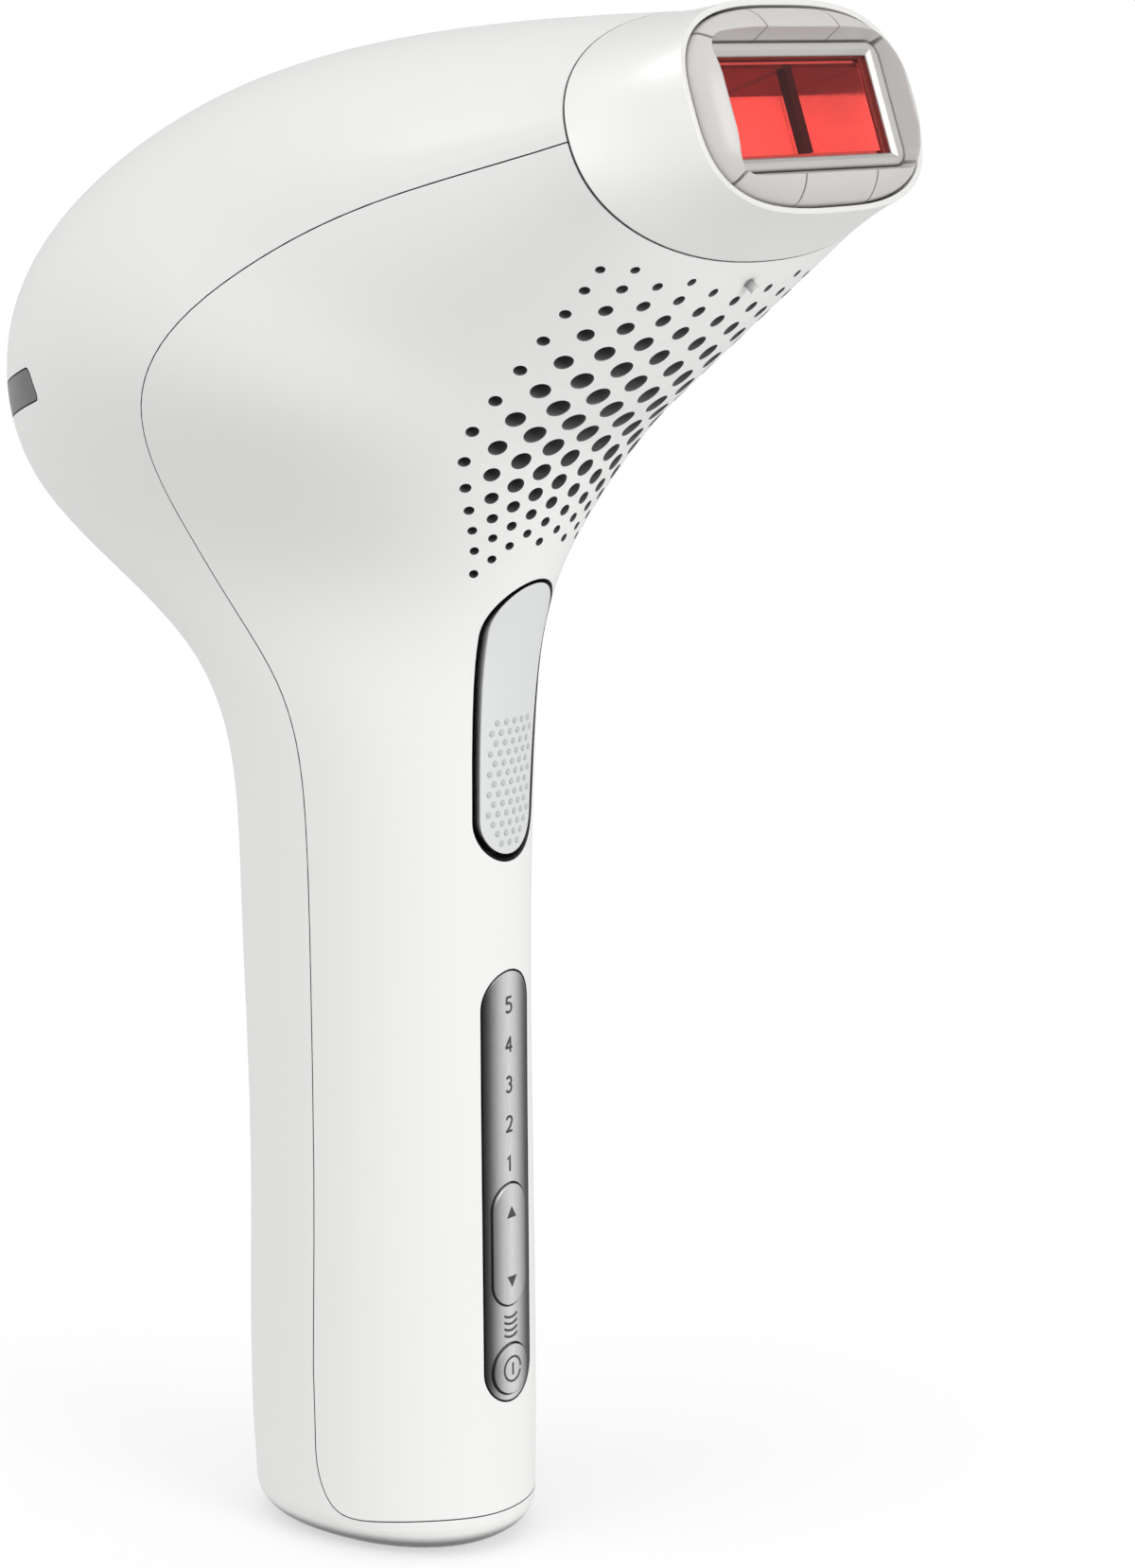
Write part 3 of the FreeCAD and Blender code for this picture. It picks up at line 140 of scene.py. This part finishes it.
def shade(colour, factor):
    """A colour made darker or lighter by a factor, never above white."""
    return tuple(min(1.0, channel * factor) for channel in colour)


def moulded(name, colour, rough, edge=0.15, grain=0.004, grain_per_mm=1.6, spread=0.03,
            painted_recess_shade=None, **surface):
    """Moulded plastic: slight colour drift, uneven gloss and a fine skin texture.

    With a shade colour, the walls of holes and gaps are darkened towards it, as painted shade where they
    are closed in. With no edge radius
    the surface gets no relief: on the shells, thin triangles would show through it."""
    g = Graph(name, **surface)
    drift = g.noise(0.035, 2.0)
    tone = g.mix(drift, shade(colour, 1 - spread), shade(colour, 1 + spread))
    # Painted shade: where ambient occlusion finds the surface closed in, the colour turns to the shade
    # colour.
    if painted_recess_shade:
        openness = g.node("AmbientOcclusion", {"Distance": PAINTED_SHADE_REACH * MM}, samples=6).outputs["AO"]
        tone = g.mix(g.levels(openness, *PAINTED_SHADE_LEVELS, 0.0, 1.0), painted_recess_shade, tone)
    g.put(g.surface, "Base Color", tone)
    g.put(g.surface, "Roughness", g.levels(g.noise(0.12, 2.0), 0.3, 0.7, rough * 0.94, rough * 1.06))
    if edge:
        g.relief(g.noise(grain_per_mm, 2.0), grain, g.soft_edges(edge))
    return g.material


def brushed(name, colour, rough, lines=(9.0, 9.0, 0.35), grain=0.006, edge=0.12):
    """Metal brushed along one direction: long scratches in colour, gloss and height."""
    g = Graph(name, metallic=1.0)
    scratches = g.noise(1.0, 5.0, g.stretched(*lines), 0.7)
    cloud = g.noise(0.12, 3.0)
    tone = g.maths("MULTIPLY", scratches, g.levels(cloud, 0.3, 0.7, 0.85, 1.15))
    g.put(g.surface, "Base Color", g.mix(tone, shade(colour, 0.80), shade(colour, 1.12)))
    g.put(g.surface, "Roughness", g.levels(scratches, 0.3, 0.7, rough * 0.8, rough * 1.25))
    g.relief(scratches, grain, g.soft_edges(edge))
    return g.material


def cast_metal(name, colour, rough, grain=0.01, edge=0.08):
    """Plain metal with handling marks and a faint mottle."""
    g = Graph(name, metallic=1.0)
    mottle = g.noise(0.9, 5.0)
    g.put(g.surface, "Base Color", g.mix(mottle, shade(colour, 0.82), shade(colour, 1.08)))
    g.put(g.surface, "Roughness", g.levels(g.noise(0.4, 4.0), 0.3, 0.7, rough * 0.7, rough * 1.4))
    g.relief(mottle, grain, g.soft_edges(edge))
    return g.material


# ---------------------------------------------------------------- materials

STRIP_HALF_WIDTH = 4.9
STRIP_SILVER, STRIP_EDGE_PAINTED_DARK = (0.86, 0.86, 0.87, 1), (0.02, 0.02, 0.022, 1)


def strip_metal():
    """Painted reflection: dark at the edges, rising to bright silver along the middle, as a bulging strip
    would reflect; finely brushed.
    """
    g = Graph("strip_metal", metallic=0.85)
    scratches = g.noise(1.0, 5.0, g.stretched(8.0, 8.0, 0.5), 0.7)
    # Painted reflection: the colour falls from silver in the middle to near black at the edges.
    sideways = g.maths("ABSOLUTE", g.axis("Y"))
    edge = g.node("ValToRGB", {"Fac": g.levels(sideways, 0.0, STRIP_HALF_WIDTH, 0.0, 1.0)})
    ramp = edge.color_ramp
    ramp.interpolation = "B_SPLINE"
    ramp.elements[0].color = STRIP_SILVER
    ramp.elements[1].color = STRIP_EDGE_PAINTED_DARK
    for at, value in ((0.38, 0.60), (0.66, 0.20), (0.85, 0.05)):
        ramp.elements.new(at).color = (value, value, value * 1.02, 1)
    tone = g.levels(scratches, 0.25, 0.75, 0.86, 1.12)
    toned = g.node("VectorMath", operation="MULTIPLY")
    g.put(toned, "Vector", edge.outputs["Color"])
    g.tree.links.new(tone, toned.inputs[1])
    g.put(g.surface, "Base Color", toned.outputs["Vector"])
    g.put(g.surface, "Roughness", g.levels(scratches, 0.3, 0.7, 0.26, 0.42))
    g.relief(scratches, 0.004, g.soft_edges(0.25))
    return g.material


def filter_glass(name, colour, index=1.48, rough=0.015, waviness=0.002):
    """Coloured filter glass with a faint wave in its polish; a low index stands for a coated face."""
    g = Graph(name, transmission_weight=1.0, ior=index)
    cloud = g.noise(0.05, 2.0)
    g.put(g.surface, "Base Color", g.mix(cloud, shade(colour, 0.96), colour))
    g.put(g.surface, "Roughness", g.levels(g.noise(0.8, 3.0), 0.3, 0.7, rough * 0.5, rough * 1.5))
    g.relief(g.noise(0.12, 1.0), waviness)
    return g.material


def painted_glow_filter():
    """Red filter plates behind the window with a painted glow that stands in for light coming in through
    the glass, brighter towards -Y.
    """
    g = Graph("painted_glow_filter", roughness=0.3)
    colour = (0.95, 0.34, 0.32)
    sideways = g.levels(g.axis("Y"), -14.0, 15.0, 1.0, 0.62)
    cloud = g.levels(g.noise(0.09, 2.0), 0.3, 0.7, 0.86, 1.08)
    g.put(g.surface, "Base Color", g.mix(cloud, shade(colour, 0.8), colour))
    # Painted light: the plates glow, dimming from -Y to +Y, though they are no lamp.
    g.put(g.surface, "Emission Color", colour)
    g.put(g.surface, "Emission Strength", g.maths("MULTIPLY", g.maths("MULTIPLY", sideways, cloud), 0.78))
    g.relief(g.noise(0.3, 2.0), 0.004, g.soft_edges(0.1))
    return g.material


def baffle_dark():
    """Window insert: dark red plate with a near-black bar down its middle, with a faint painted glow in its
    own colour.
    """
    g = Graph("baffle_dark", roughness=0.5)
    off_centre = g.levels(g.maths("ABSOLUTE", g.axis("Y")), 0.95, 1.3, 0.0, 1.0)
    tone = g.mix(off_centre, (0.006, 0.001, 0.001), (0.06, 0.002, 0.004))
    g.put(g.surface, "Base Color", tone)
    # Painted light: the plate glows faintly in its own colour, though it is no lamp.
    g.put(g.surface, "Emission Color", tone)
    g.put(g.surface, "Emission Strength", g.levels(g.noise(0.4, 3.0), 0.3, 0.7, 0.5, 0.75))
    g.relief(g.noise(1.6, 2.0), 0.006, g.soft_edges(0.05))
    return g.material


def circuit_board(name, colour):
    """Solder mask over copper tracks, with a fine glass-cloth weave."""
    g = Graph(name, roughness=0.35, coat_weight=0.3)
    turned = g.node("Mapping", {"Vector": g.place, "Rotation": (0, math.pi / 2, 0), "Scale": (1 / MM,) * 3})
    tracks = g.node("TexBrick", {"Vector": turned.outputs["Vector"], "Scale": 0.22, "Mortar Size": 0.045,
                                 "Color1": shade(colour, 1.0), "Color2": shade(colour, 0.82),
                                 "Mortar": shade(colour, 1.7)})
    g.put(g.surface, "Base Color", tracks.outputs["Color"])
    g.put(g.surface, "Roughness", g.levels(g.noise(0.6, 3.0), 0.3, 0.7, 0.28, 0.45))
    g.relief(g.noise(2.4, 2.0), 0.006, g.soft_edges(0.1))
    return g.material


def light_pipe(name, colour):
    """Clear moulded plastic, a little cloudy, as used for light guides."""
    g = Graph(name, transmission_weight=0.7, ior=1.49, subsurface_weight=0.2)
    g.put(g.surface, "Base Color", g.mix(g.noise(0.5, 2.0), shade(colour, 0.94), colour))
    g.put(g.surface, "Roughness", g.levels(g.noise(1.2, 3.0), 0.3, 0.7, 0.12, 0.24))
    g.relief(g.noise(1.5, 2.0), 0.003)
    return g.material


def make_materials():
    """Every finish of the object, by its name in the record."""
    return {
        # The white shell and the silver trigger get painted shade in their holes and gaps.
        "shell_white": moulded("shell_white", (0.805, 0.80, 0.79), 0.30, edge=0, spread=0.003,
                               painted_recess_shade=(0.11, 0.11, 0.11), coat_weight=0.25, coat_roughness=0.2),
        "attachment_pearl": moulded("attachment_pearl", (0.79, 0.785, 0.77), 0.36, edge=0.14, grain=0.0008,
                                    spread=0.004, metallic=0.25, coat_weight=0.2, coat_roughness=0.25),
        "ring_grey": moulded("ring_grey", (0.53, 0.515, 0.50), 0.32, edge=0.22, grain=0.001, spread=0.006),
        "trigger_silver": moulded("trigger_silver", (0.70, 0.715, 0.705), 0.36, edge=0.3, grain=0.001,
                                  spread=0.006, painted_recess_shade=(0.01, 0.01, 0.01), metallic=0.2),
        "bezel_metal": moulded("bezel_metal", (0.58, 0.57, 0.555), 0.38, edge=0.25, grain=0.001,
                               spread=0.01, metallic=0.5),
        "filter_red": filter_glass("filter_red", (1.0, 0.34, 0.31), index=1.18),
        "clear_glass": filter_glass("clear_glass", (0.96, 0.97, 0.98)),
        "strip_metal": strip_metal(),
        "dark_plastic": moulded("dark_plastic", (0.035, 0.035, 0.037), 0.55, grain=0.012, spread=0.15),
        "grey_plastic": moulded("grey_plastic", (0.27, 0.275, 0.28), 0.5, grain=0.012, spread=0.06),
        "light_pipe": light_pipe("light_pipe", (0.88, 0.92, 0.95)),
        "smoke_lens": moulded("smoke_lens", (0.05, 0.05, 0.053), 0.32, edge=0.2, grain=0.001, spread=0.08,
                              coat_weight=0.15, coat_roughness=0.2),
        "circuit_board": circuit_board("circuit_board", (0.015, 0.12, 0.045)),
        "steel": cast_metal("steel", (0.62, 0.62, 0.62), 0.3),
        "mirror_metal": cast_metal("mirror_metal", (0.90, 0.90, 0.90), 0.08, grain=0.002),
        "aluminium_plain": brushed("aluminium_plain", (0.75, 0.75, 0.76), 0.35),
        "brass_plain": cast_metal("brass_plain", (0.86, 0.62, 0.25), 0.25),
        "cell_wrap": moulded("cell_wrap", (0.04, 0.12, 0.34), 0.25, grain=0.006, spread=0.08,
                             coat_weight=0.6),
        "ceramic_white": moulded("ceramic_white", (0.78, 0.77, 0.72), 0.6, grain=0.02, grain_per_mm=3.0,
                                 spread=0.04),
    }


MATERIALS = make_materials()
SPECIAL = {
    "heat_filter_plates": painted_glow_filter(),
    "window_baffle": baffle_dark(),
    "trigger_liner": moulded("liner_black", (0.006, 0.006, 0.006), 0.7, edge=0, spread=0.1,
                             specular_ior_level=0.15),
}


def finish_nodes():
    """Give every CAD node the finish its record names, or its own where it has one."""
    for row in frame["record"]["subparts"]:
        obj = NODES[row["node"]]
        obj.data.materials.clear()
        obj.data.materials.append(SPECIAL.get(row["node"]) or MATERIALS[row["material_slot"]])
        for polygon in obj.data.polygons:
            polygon.material_index = 0


finish_nodes()


# ---------------------------------------------------------------- small pieces

# A printed mark stands this far out of its node, and its back this far inside, in mm.
PROUD, SUNK = 0.03, 0.04


def piece(name, bm, material, body):
    """Make a mesh from bm, and let it ride a body under the material it is given."""
    mesh = bpy.data.meshes.new(name)
    bmesh.ops.recalc_face_normals(bm, faces=bm.faces)
    bm.to_mesh(mesh)
    bm.free()
    mesh.materials.append(material)
    obj = bpy.data.objects.new(name, mesh)
    SCENE.collection.objects.link(obj)
    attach(obj, body)
    return obj


def surface_of(node):
    """Search tree over the faces of a CAD node."""
    mesh = NODES[node].data
    return BVHTree.FromPolygons([v.co for v in mesh.vertices], [p.vertices for p in mesh.polygons])


def on_front(tree, y, z):
    """Point and outward normal where the front of a node is met, from y and z in mm."""
    spot, normal, _, _ = tree.ray_cast(Vector((0.2, y * MM, z * MM)), Vector((-1, 0, 0)))
    return spot, normal if normal.x > 0 else -normal


def ribbon(bm, tree, points, width):
    """Thin solid strip that follows a line of (y, z) points over a node's front."""
    last = len(points) - 1
    rows = []
    for k, (y, z) in enumerate(points):
        before, after = points[max(k - 1, 0)], points[min(k + 1, last)]
        run = Vector((after[0] - before[0], after[1] - before[1])).normalized()
        side = Vector((-run.y, run.x)) * (width / 2)
        row = []
        for sign, lift in ((1, PROUD), (-1, PROUD), (-1, -SUNK), (1, -SUNK)):
            spot, normal = on_front(tree, y + sign * side.x, z + sign * side.y)
            row.append(bm.verts.new(spot + normal * (lift * MM)))
        rows.append(row)
    for one, other in zip(rows, rows[1:]):
        for j in range(4):
            bm.faces.new((one[j], one[(j + 1) % 4], other[(j + 1) % 4], other[j]))
    bm.faces.new(rows[0])
    bm.faces.new(rows[-1][::-1])


def arc(centre, radius, start, end, steps=14):
    """Points (y, z) on an arc; angles in degrees, 0 to the right and 90 up."""
    points = []
    for k in range(steps + 1):
        turn = math.radians(start + (end - start) * k / steps)
        points.append((centre[0] + radius * math.cos(turn), centre[1] + radius * math.sin(turn)))
    return points


DIGITS = {
    1: [[(-0.42, 0.62), (0.08, 1.1), (0.08, 0.0), (0.08, -1.1)]],
    2: [arc((0, 0.5), 0.58, 165, -25) + [(0.2, -0.35), (-0.6, -1.1)], [(-0.66, -1.03), (0.66, -1.03)]],
    3: [arc((-0.05, 0.53), 0.53, 150, -90), arc((-0.05, -0.5), 0.58, 90, -150)],
    4: [[(0.3, -1.1), (0.3, 1.1)], [(0.3, 1.05), (-0.65, -0.45)], [(-0.72, -0.42), (0.72, -0.42)]],
    5: [[(0.55, 1.05), (-0.45, 1.05)], [(-0.42, 1.1), (-0.5, 0.1)], arc((-0.08, -0.42), 0.66, 125, -145)],
}
DIGIT_STROKE = 0.36
LEVEL_LOW, LEVEL_PITCH = 55.2, 5.63


def level_digits():
    """Intensity numbers printed up the control strip."""
    tree = surface_of("control_strip")
    bm = bmesh.new()
    for number, strokes in DIGITS.items():
        base = LEVEL_LOW + LEVEL_PITCH * (number - 1)
        for stroke in strokes:
            ribbon(bm, tree, [(y, base + z) for y, z in stroke], DIGIT_STROKE)
    return piece("level_digits", bm, MARK_INK, "handset")


CHARGE_BARS, CHARGE_SPREAD = 4, 3.4
BOW_RADIUS, BOW_STROKE = 2.4, 0.34


def charge_marks():
    """Short bowed bars of the charge gauge between the rocker and the power key."""
    tree = surface_of("control_strip")
    bm = bmesh.new()
    low, high = (v.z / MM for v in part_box("charge_light_guide"))
    for k in range(CHARGE_BARS):
        foot = low + k * (high - low) / CHARGE_SPREAD
        ribbon(bm, tree, arc((0, foot + BOW_RADIUS), BOW_RADIUS, 235, 305, 10), BOW_STROKE)
    return piece("charge_marks", bm, MARK_INK, "handset")


ARROW_HALF_WIDTH, ARROW_BASE, ARROW_TIP = 1.0, 0.65, 0.95
ARROW_BELOW_TOP, ARROW_ABOVE_FOOT = 4.1, 3.5


def rocker_arrows():
    """Up and down arrows on the rocker."""
    tree = surface_of("rocker_button")
    low, high = (v.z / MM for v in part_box("rocker_button"))
    bm = bmesh.new()
    for z, up in ((high - ARROW_BELOW_TOP, 1), (low + ARROW_ABOVE_FOOT, -1)):
        corners = [(-ARROW_HALF_WIDTH, -ARROW_BASE * up), (ARROW_HALF_WIDTH, -ARROW_BASE * up),
                   (0.0, ARROW_TIP * up)]
        rows = []
        for lift in (PROUD, -SUNK):
            row = []
            for y, rise in corners:
                spot, normal = on_front(tree, y, z + rise)
                row.append(bm.verts.new(spot + normal * (lift * MM)))
            rows.append(row)
        bm.faces.new(rows[0])
        bm.faces.new(rows[1][::-1])
        for j in range(3):
            bm.faces.new((rows[0][j], rows[0][(j + 1) % 3], rows[1][(j + 1) % 3], rows[1][j]))
    return piece("rocker_arrows", bm, MARK_INK, "rocker")


POWER_RING, POWER_RING_STROKE = 1.75, 0.32
POWER_BAR, POWER_BAR_STROKE = 0.9, 0.34


def power_mark():
    """Ring with an upright bar on the power key."""
    tree = surface_of("power_button")
    low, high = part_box("power_button")
    z = (low.z + high.z) / 2 / MM
    bm = bmesh.new()
    ribbon(bm, tree, arc((0, z), POWER_RING, 0, 345, 30), POWER_RING_STROKE)
    ribbon(bm, tree, [(0, z - POWER_BAR), (0, z), (0, z + POWER_BAR)], POWER_BAR_STROKE)
    return piece("power_mark", bm, MARK_INK, "power_key")


PIP_PITCH, PIP_RADIUS, PIP_HEIGHT, PIP_SUNK = 1.62, 0.42, 0.2, 0.03
PIP_ROW = PIP_PITCH * 0.866
PIP_SIDES = 8
# Half width of the field of pips, which is also the radius of its round foot.
GRIP_REACH = 4.6
GRIP_ROWS, GRIP_HALF_COLUMNS = 13, 4


def pip(bm, spot, normal):
    """Small dome standing on a surface."""
    place = Matrix.Translation(spot) @ normal.to_track_quat("Z", "Y").to_matrix().to_4x4()
    rings = []
    for radius, lift in ((PIP_RADIUS, -PIP_SUNK), (PIP_RADIUS * 0.92, PIP_HEIGHT * 0.45),
                         (PIP_RADIUS * 0.55, PIP_HEIGHT * 0.9)):
        ring = []
        for k in range(PIP_SIDES):
            angle = math.tau * k / PIP_SIDES
            local = Vector((radius * math.cos(angle), radius * math.sin(angle), lift)) * MM
            ring.append(bm.verts.new(place @ local))
        rings.append(ring)
    top = bm.verts.new(place @ Vector((0, 0, PIP_HEIGHT * MM)))
    for k in range(PIP_SIDES):
        after = (k + 1) % PIP_SIDES
        for one, other in zip(rings, rings[1:]):
            bm.faces.new((one[k], one[after], other[after], other[k]))
        bm.faces.new((rings[-1][k], rings[-1][after], top))
    bm.faces.new(rings[0][::-1])


def grip_dots():
    """Field of raised pips on the lower half of the trigger, rounded like its foot."""
    tree = surface_of("trigger_button")
    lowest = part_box("trigger_button")[0].z / MM
    first_row, round_at = lowest + 3.3, lowest + 6.9
    bm = bmesh.new()
    for row in range(GRIP_ROWS):
        z = first_row + row * PIP_ROW
        for column in range(-GRIP_HALF_COLUMNS, GRIP_HALF_COLUMNS + 1):
            y = (column + 0.5 * (row % 2)) * PIP_PITCH
            if math.hypot(y, max(0.0, round_at - z)) <= GRIP_REACH:
                pip(bm, *on_front(tree, y, z))
    for face in bm.faces:
        face.smooth = True
    pips = moulded("grip_pips", (0.50, 0.51, 0.51), 0.4, edge=0, spread=0.01)
    return piece("trigger_grip_dots", bm, pips, "trigger")


MARK_INK = moulded("mark_ink", (0.045, 0.045, 0.05), 0.45, edge=0.02, grain=0.004, spread=0.1)
level_digits()
charge_marks()
rocker_arrows()
power_mark()
grip_dots()


# ---------------------------------------------------------------- stage, light and camera

FLOOR_HALF = 8.0
FLOOR_DROP = 0.0002
# Near and far distance, in metres from the origin, between which the floor fades.
FLOOR_FADE = (0.02, 0.14)


def studio_floor():
    """Pale floor that fades into the white surround, and stays dimmer in reflections."""
    g = Graph("studio_floor")
    g.put(g.surface, "Base Color", g.mix(g.noise(0.02, 2.0), (0.90, 0.90, 0.90), (0.92, 0.92, 0.92)))
    g.put(g.surface, "Roughness", 0.6)
    seen = g.node("LightPath").outputs["Is Camera Ray"]
    far = g.node("Emission", {"Color": (1, 1, 1), "Strength": g.levels(seen, 0.0, 1.0, 0.74, 1.02)})
    reach = g.node("VectorMath", {"Vector": g.place}, operation="LENGTH").outputs["Value"]
    near_share = g.levels(reach, *FLOOR_FADE, 0.55, 1.0)
    blend = g.node("MixShader", {"Fac": near_share})
    g.tree.links.new(g.surface.outputs[0], blend.inputs[1])
    g.tree.links.new(far.outputs[0], blend.inputs[2])
    g.tree.links.new(blend.outputs[0], g.tree.nodes["Material Output"].inputs["Surface"])
    bm = bmesh.new()
    bmesh.ops.create_grid(bm, x_segments=24, y_segments=24, size=FLOOR_HALF)
    mesh = bpy.data.meshes.new("studio_floor")
    bm.to_mesh(mesh)
    bm.free()
    mesh.materials.append(g.material)
    floor = bpy.data.objects.new("studio_floor", mesh)
    SCENE.collection.objects.link(floor)
    floor.location.z = -FLOOR_DROP


def soft_light(name, place, size, power, target=(0, 0, 0.13)):
    """Rectangular lamp, unseen by the camera, aimed at the middle of the object."""
    lamp = bpy.data.lights.new(name, "AREA")
    lamp.shape = "RECTANGLE"
    lamp.size, lamp.size_y = size
    lamp.energy = power
    obj = bpy.data.objects.new(name, lamp)
    obj.location = place
    obj.rotation_mode = "QUATERNION"
    obj.rotation_quaternion = (Vector(target) - Vector(place)).to_track_quat("-Z", "Y")
    obj.visible_camera = False
    SCENE.collection.objects.link(obj)


def surround(low, high, seen):
    """White surround: a fill that brightens overhead, and a plain white for the camera."""
    world = bpy.data.worlds.new("studio")
    world.use_nodes = True
    tree = world.node_tree
    back = tree.nodes["Background"]
    place = tree.nodes.new("ShaderNodeTexCoord")
    split = tree.nodes.new("ShaderNodeSeparateXYZ")
    fill = tree.nodes.new("ShaderNodeMapRange")
    fill.inputs["To Min"].default_value = low
    fill.inputs["To Max"].default_value = high
    path = tree.nodes.new("ShaderNodeLightPath")
    strength = tree.nodes.new("ShaderNodeMapRange")
    strength.inputs["To Max"].default_value = seen
    tree.links.new(place.outputs["Generated"], split.inputs["Vector"])
    tree.links.new(split.outputs["Z"], fill.inputs["Value"])
    tree.links.new(fill.outputs["Result"], strength.inputs["To Min"])
    tree.links.new(path.outputs["Is Camera Ray"], strength.inputs["Value"])
    tree.links.new(strength.outputs["Result"], back.inputs["Strength"])
    back.inputs["Color"].default_value = (1, 1, 1, 1)
    SCENE.world = world


CAMERA_AT = (0.356, -0.416, 0.210)
CAMERA_AIM = (0.023, 0.011, 0.107)
CAMERA_LENS = 92.1


def camera():
    """The photograph's view."""
    data = bpy.data.cameras.new("camera")
    data.lens = CAMERA_LENS
    obj = bpy.data.objects.new("camera", data)
    obj.location = CAMERA_AT
    aim = Vector(CAMERA_AIM) - obj.location
    obj.rotation_mode = "QUATERNION"
    obj.rotation_quaternion = aim.to_track_quat("-Z", "Y")
    data.clip_start, data.clip_end = 0.01, 50.0
    SCENE.collection.objects.link(obj)
    SCENE.camera = obj


studio_floor()
surround(low=0.66, high=0.74, seen=1.0)
soft_light("key", (-0.3, -0.75, 0.85), size=(0.8, 0.6), power=3.6)
soft_light("side", (0.8, -0.1, 0.4), size=(0.4, 0.6), power=3.6)
camera()
SCENE.view_settings.view_transform = "Standard"
